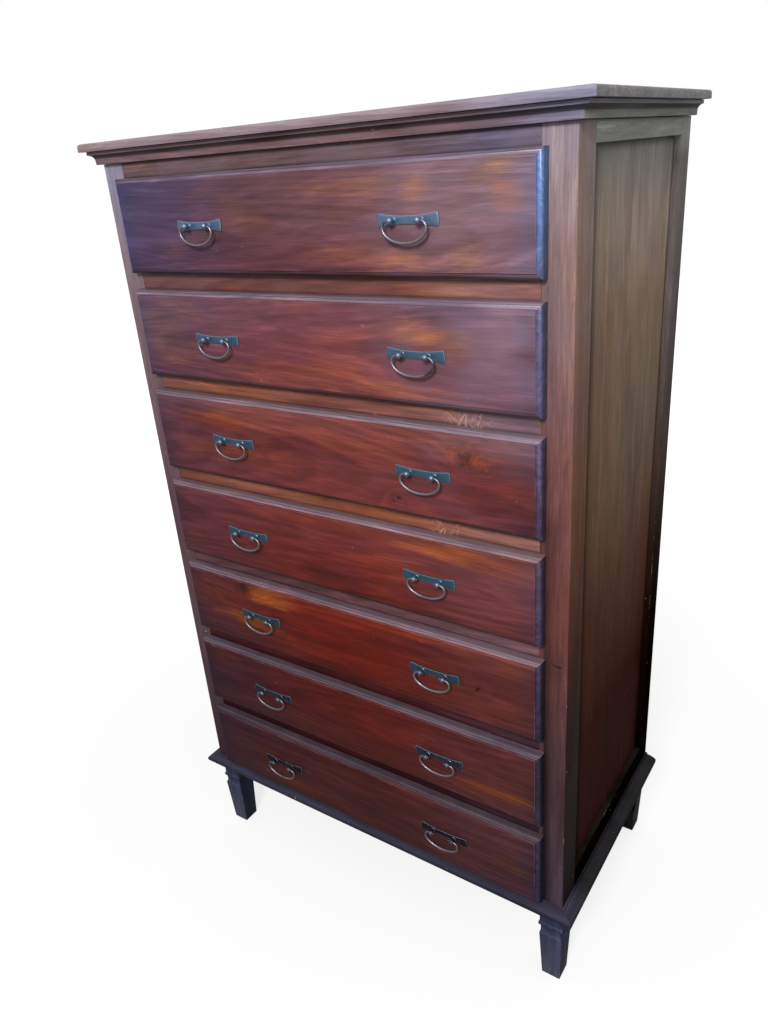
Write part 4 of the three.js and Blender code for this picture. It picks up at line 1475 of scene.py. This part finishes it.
def buildPlate(middleX):
    plan = handlePlan
    plate = addSolid(bpy.ops.mesh.primitive_grid_add, x_subdivisions=plan["columns"],
                     y_subdivisions=plan["rows"], size=2, rotation=(math.pi / 2, 0, 0))
    for vertex in plate.data.vertices:
        across, _, up = vertex.co
        share = max(0, (abs(across) - plan["waistShare"]) / (1 - plan["waistShare"]))
        half = plan["waist"] + (plan["endHeight"] - plan["waist"]) * share ** 2
        half *= 1 - plan["corner"] * max(0, (abs(across) - plan["cornerStart"]) * 10) ** 2
        bulge = plan["bulge"] * (1 - up ** 2) * across ** 9
        vertex.co = (middleX + across * plan["half"] + bulge, plateBack, frontMiddle + up * half)
    openEdit(plate, "FACE")
    bpy.ops.mesh.select_all(action="SELECT")
    pushOut((0, plateFront - plateBack, 0))
    closeEdit()
    faceOutward(plate)
    pickFaces(plate, liesAt("y", plateFront))
    bpy.ops.mesh.region_to_loop()
    roundPicked(plate, plan["arris"], 2)
    return plate


def buildHandle():
    plan = handlePlan
    middleX = handleSpacing / 2
    parts = [buildPlate(middleX)]
    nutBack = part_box("handle_plate_1_right")[1].y
    nutFront = nutBack - plan["nutThick"]
    collarBack, collarFront = (plateFront + out for out in plan["collarSpan"])
    neckFront = bailAxis + plan["ball"] * plan["neckStart"]
    for side in (-1, 1):
        x = middleX + side * plan["posts"]
        middle = (x, bailAxis, frontMiddle)
        ball = addSolid(bpy.ops.mesh.primitive_uv_sphere_add, segments=22, ring_count=14,
                        radius=plan["ball"], location=middle, rotation=(math.pi / 2, 0, 0))
        cutWith(ball, addRod(middle, "x", plan["bore"], plan["boreDrill"], 18))
        markFaces(ball, "worn", 0.3, lambda face: face.center.y < bailAxis)
        parts.append(ball)
        for radius, start, end, corners in (
                (plan["neck"], neckFront, nutBack - plan["nutSunk"], 14),
                (plan["collar"], collarBack, collarFront, 16),
                (plan["nut"], nutFront, nutBack, 6)):
            part = addRod((x, (start + end) / 2, frontMiddle), "y", radius, end - start, corners)
            roundEdges(part, plan["rodArris"], 1,
                       lambda middle, way: near(middle.y, start) or near(middle.y, end))
            parts.append(part)
    return joinPieces("handle", parts)


def bailPath():
    plan = bailPlan
    posts = handlePlan["posts"]
    shoulderX = plan["half"] - plan["shoulder"]
    half = [(posts - plan["stub"], 0.0), (posts, 0.0), (shoulderX, 0.0)]
    radius = plan["shoulder"]
    half += arcPoints((shoulderX, -radius), radius, radius, 90, 0, 8)[1:]
    half += arcPoints((0, -radius), plan["half"], radius - plan["drop"], 0, 90, 16)[1:]
    return [(-x, z) for x, z in half[:-1]] + list(reversed(half))


def buildBail():
    path = bailPath()
    curve = bpy.data.curves.new("bail", "CURVE")
    curve.dimensions = "3D"
    curve.bevel_depth = bailPlan["wire"]
    curve.bevel_resolution = 4
    curve.use_fill_caps = True
    line = curve.splines.new("POLY")
    line.points.add(len(path) - 1)
    for point, (x, z) in zip(line.points, path):
        point.co = (handleSpacing / 2 + x, bailAxis, frontMiddle + z, 1)
        full = min(1, -z / bailPlan["drop"] * bailPlan["taperRate"])
        point.radius = bailPlan["taper"] + (1 - bailPlan["taper"]) * full
    makeActive(newObject("bail", curve))
    bpy.ops.object.convert(target="MESH")
    bail = bpy.context.object
    openEdit(bail, "FACE")
    bpy.ops.mesh.select_all(action="SELECT")
    bpy.ops.mesh.remove_doubles(threshold=0.00001)
    closeEdit()
    faceOutward(bail)
    gripTop = frontMiddle - bailPlan["gripDrop"]
    markFaces(bail, "worn", 0.9, lambda face: face.center.y < bailAxis or face.center.z < gripTop)
    return bail


def buildHandles():
    handle = buildHandle()
    bail = buildBail()
    for row in rows:
        for label, side in sides.items():
            offset = dropTo(row, (side - 1) * handleSpacing / 2)
            spot = f"{row}_{label}"
            plate = copyTo(handle, f"handle{row}{label.capitalize()}", offset)
            settle(smoothed(plate, 40), f"drawer_{row}", "iron", "plate iron", "handle_plate_" + spot)
            swing = copyTo(bail, f"bail{row}{label.capitalize()}", offset)
            settle(smoothed(swing, 50), "bail_" + spot, "iron", "bail iron", "bail_" + spot)
    bpy.data.objects.remove(handle)
    bpy.data.objects.remove(bail)


buildHandles()
print("stage: handles built")


# Floor, light and camera
studio = {
    "floor": 7.0, "floorSeen": (0.9, 0.9, 0.9, 1.0), "floorBounce": (0.2, 0.195, 0.19, 1.0),
    "floorWhite": 0.62, "floorFade": (0.6, 2.2), "floorRoughness": 0.9,
    "speckle": ((300, 300, 300), 2.0), "speckleLevels": (0.3, 0.7, 0.98, 1.0),
    "whiteStrength": 1.2, "world": 0.42,
    "key": {"place": (1.0, -2.9, 2.9), "aim": (0, 0, 0.7), "size": (1.1, 0.9), "power": 92,
            "colour": (1.0, 0.98, 0.96)},
    "right": {"place": (3.0, 0.6, 2.2), "aim": (0, 0, 0.8), "size": (1.6, 2.0), "power": 8,
              "colour": (0.9, 0.94, 1.0)},
}


def buildFloor():
    bpy.ops.object.select_all(action="DESELECT")
    bpy.ops.mesh.primitive_circle_add(vertices=96, radius=studio["floor"], fill_type="NGON")
    floor = bpy.context.object
    floor.name = "floor"
    finish, shader = newFinish("pale floor")
    shader.inputs["Roughness"].default_value = studio["floorRoughness"]
    shader.inputs["Specular IOR Level"].default_value = 0.0
    place = newNode("TexCoord").outputs["Object"]
    path = newNode("LightPath").outputs
    # A grey floor that the camera sees as white, with the shadow of the chest on it
    speckle = rangeOf(noiseOf(place, *studio["speckle"]), *studio["speckleLevels"])
    seen = mixOf(1.0, studio["floorSeen"], speckle, "MULTIPLY")
    feed(shader.inputs["Base Color"], mixOf(path["Is Camera Ray"], studio["floorBounce"], seen))
    white = newNode("Emission")
    white.inputs["Strength"].default_value = studio["whiteStrength"]
    away = rangeOf(vectorMaths("LENGTH", place), *studio["floorFade"], studio["floorWhite"], 1.0)
    mix = newNode("MixShader")
    feed(mix.inputs[0], times(away, path["Is Camera Ray"]))
    feed(mix.inputs[1], shader.outputs[0])
    feed(mix.inputs[2], white.outputs[0])
    feed(finish.node_tree.nodes["Material Output"].inputs["Surface"], mix.outputs[0])
    floor.data.materials.append(finish)


def buildLight(name):
    plan = studio[name]
    lamp = bpy.data.lights.new(name, "AREA")
    lamp.shape = "RECTANGLE"
    lamp.size, lamp.size_y = plan["size"]
    lamp.energy = plan["power"]
    lamp.color = plan["colour"]
    holder = newObject(name, lamp)
    holder.location = plan["place"]
    way = Vector(plan["aim"]) - Vector(plan["place"])
    holder.rotation_euler = way.to_track_quat("-Z", "Y").to_euler()


def buildWorld():
    world = bpy.data.worlds.new("studio")
    bpy.context.scene.world = world
    world.use_nodes = True
    world.node_tree.nodes.clear()
    wiring["tree"] = world.node_tree
    path = newNode("LightPath").outputs
    seen = maths("MAXIMUM", path["Is Camera Ray"], path["Is Transmission Ray"])
    mix = newNode("MixShader")
    feed(mix.inputs[0], seen)
    for socket, strength in ((mix.inputs[1], studio["world"]), (mix.inputs[2], 1.0)):
        light = newNode("Background")
        light.inputs["Strength"].default_value = strength
        light.inputs["Color"].default_value = (1, 1, 1, 1)
        feed(socket, light.outputs[0])
    end = newNode("OutputWorld")
    feed(end.inputs["Surface"], mix.outputs[0])


cameraPlan = {
    "place": (0.699898, -1.032212, 1.253478), "turn": 0.6249765, "tilt": -0.4170298, "roll": -0.0816458,
    "lens": 28.28,
}


def buildCamera():
    plan = cameraPlan
    turn, tilt, roll = plan["turn"], plan["tilt"], plan["roll"]
    forward = Vector((-math.sin(turn) * math.cos(tilt), math.cos(turn) * math.cos(tilt), math.sin(tilt)))
    level = Vector((math.cos(turn), math.sin(turn), 0))
    above = level.cross(forward)
    right = math.cos(roll) * level + math.sin(roll) * above
    up = math.cos(roll) * above - math.sin(roll) * level
    lens = bpy.data.cameras.new("view")
    lens.lens = plan["lens"]
    lens.sensor_width = 36
    lens.clip_end = 50
    camera = newObject("view", lens)
    facing = Matrix((right, up, -forward)).transposed().to_4x4()
    camera.matrix_world = Matrix.Translation(plan["place"]) @ facing
    bpy.context.scene.camera = camera


buildFloor()
buildLight("key")
buildLight("right")
buildWorld()
buildCamera()
bpy.context.scene.view_settings.view_transform = "Standard"
print("stage: floor, light and camera set")
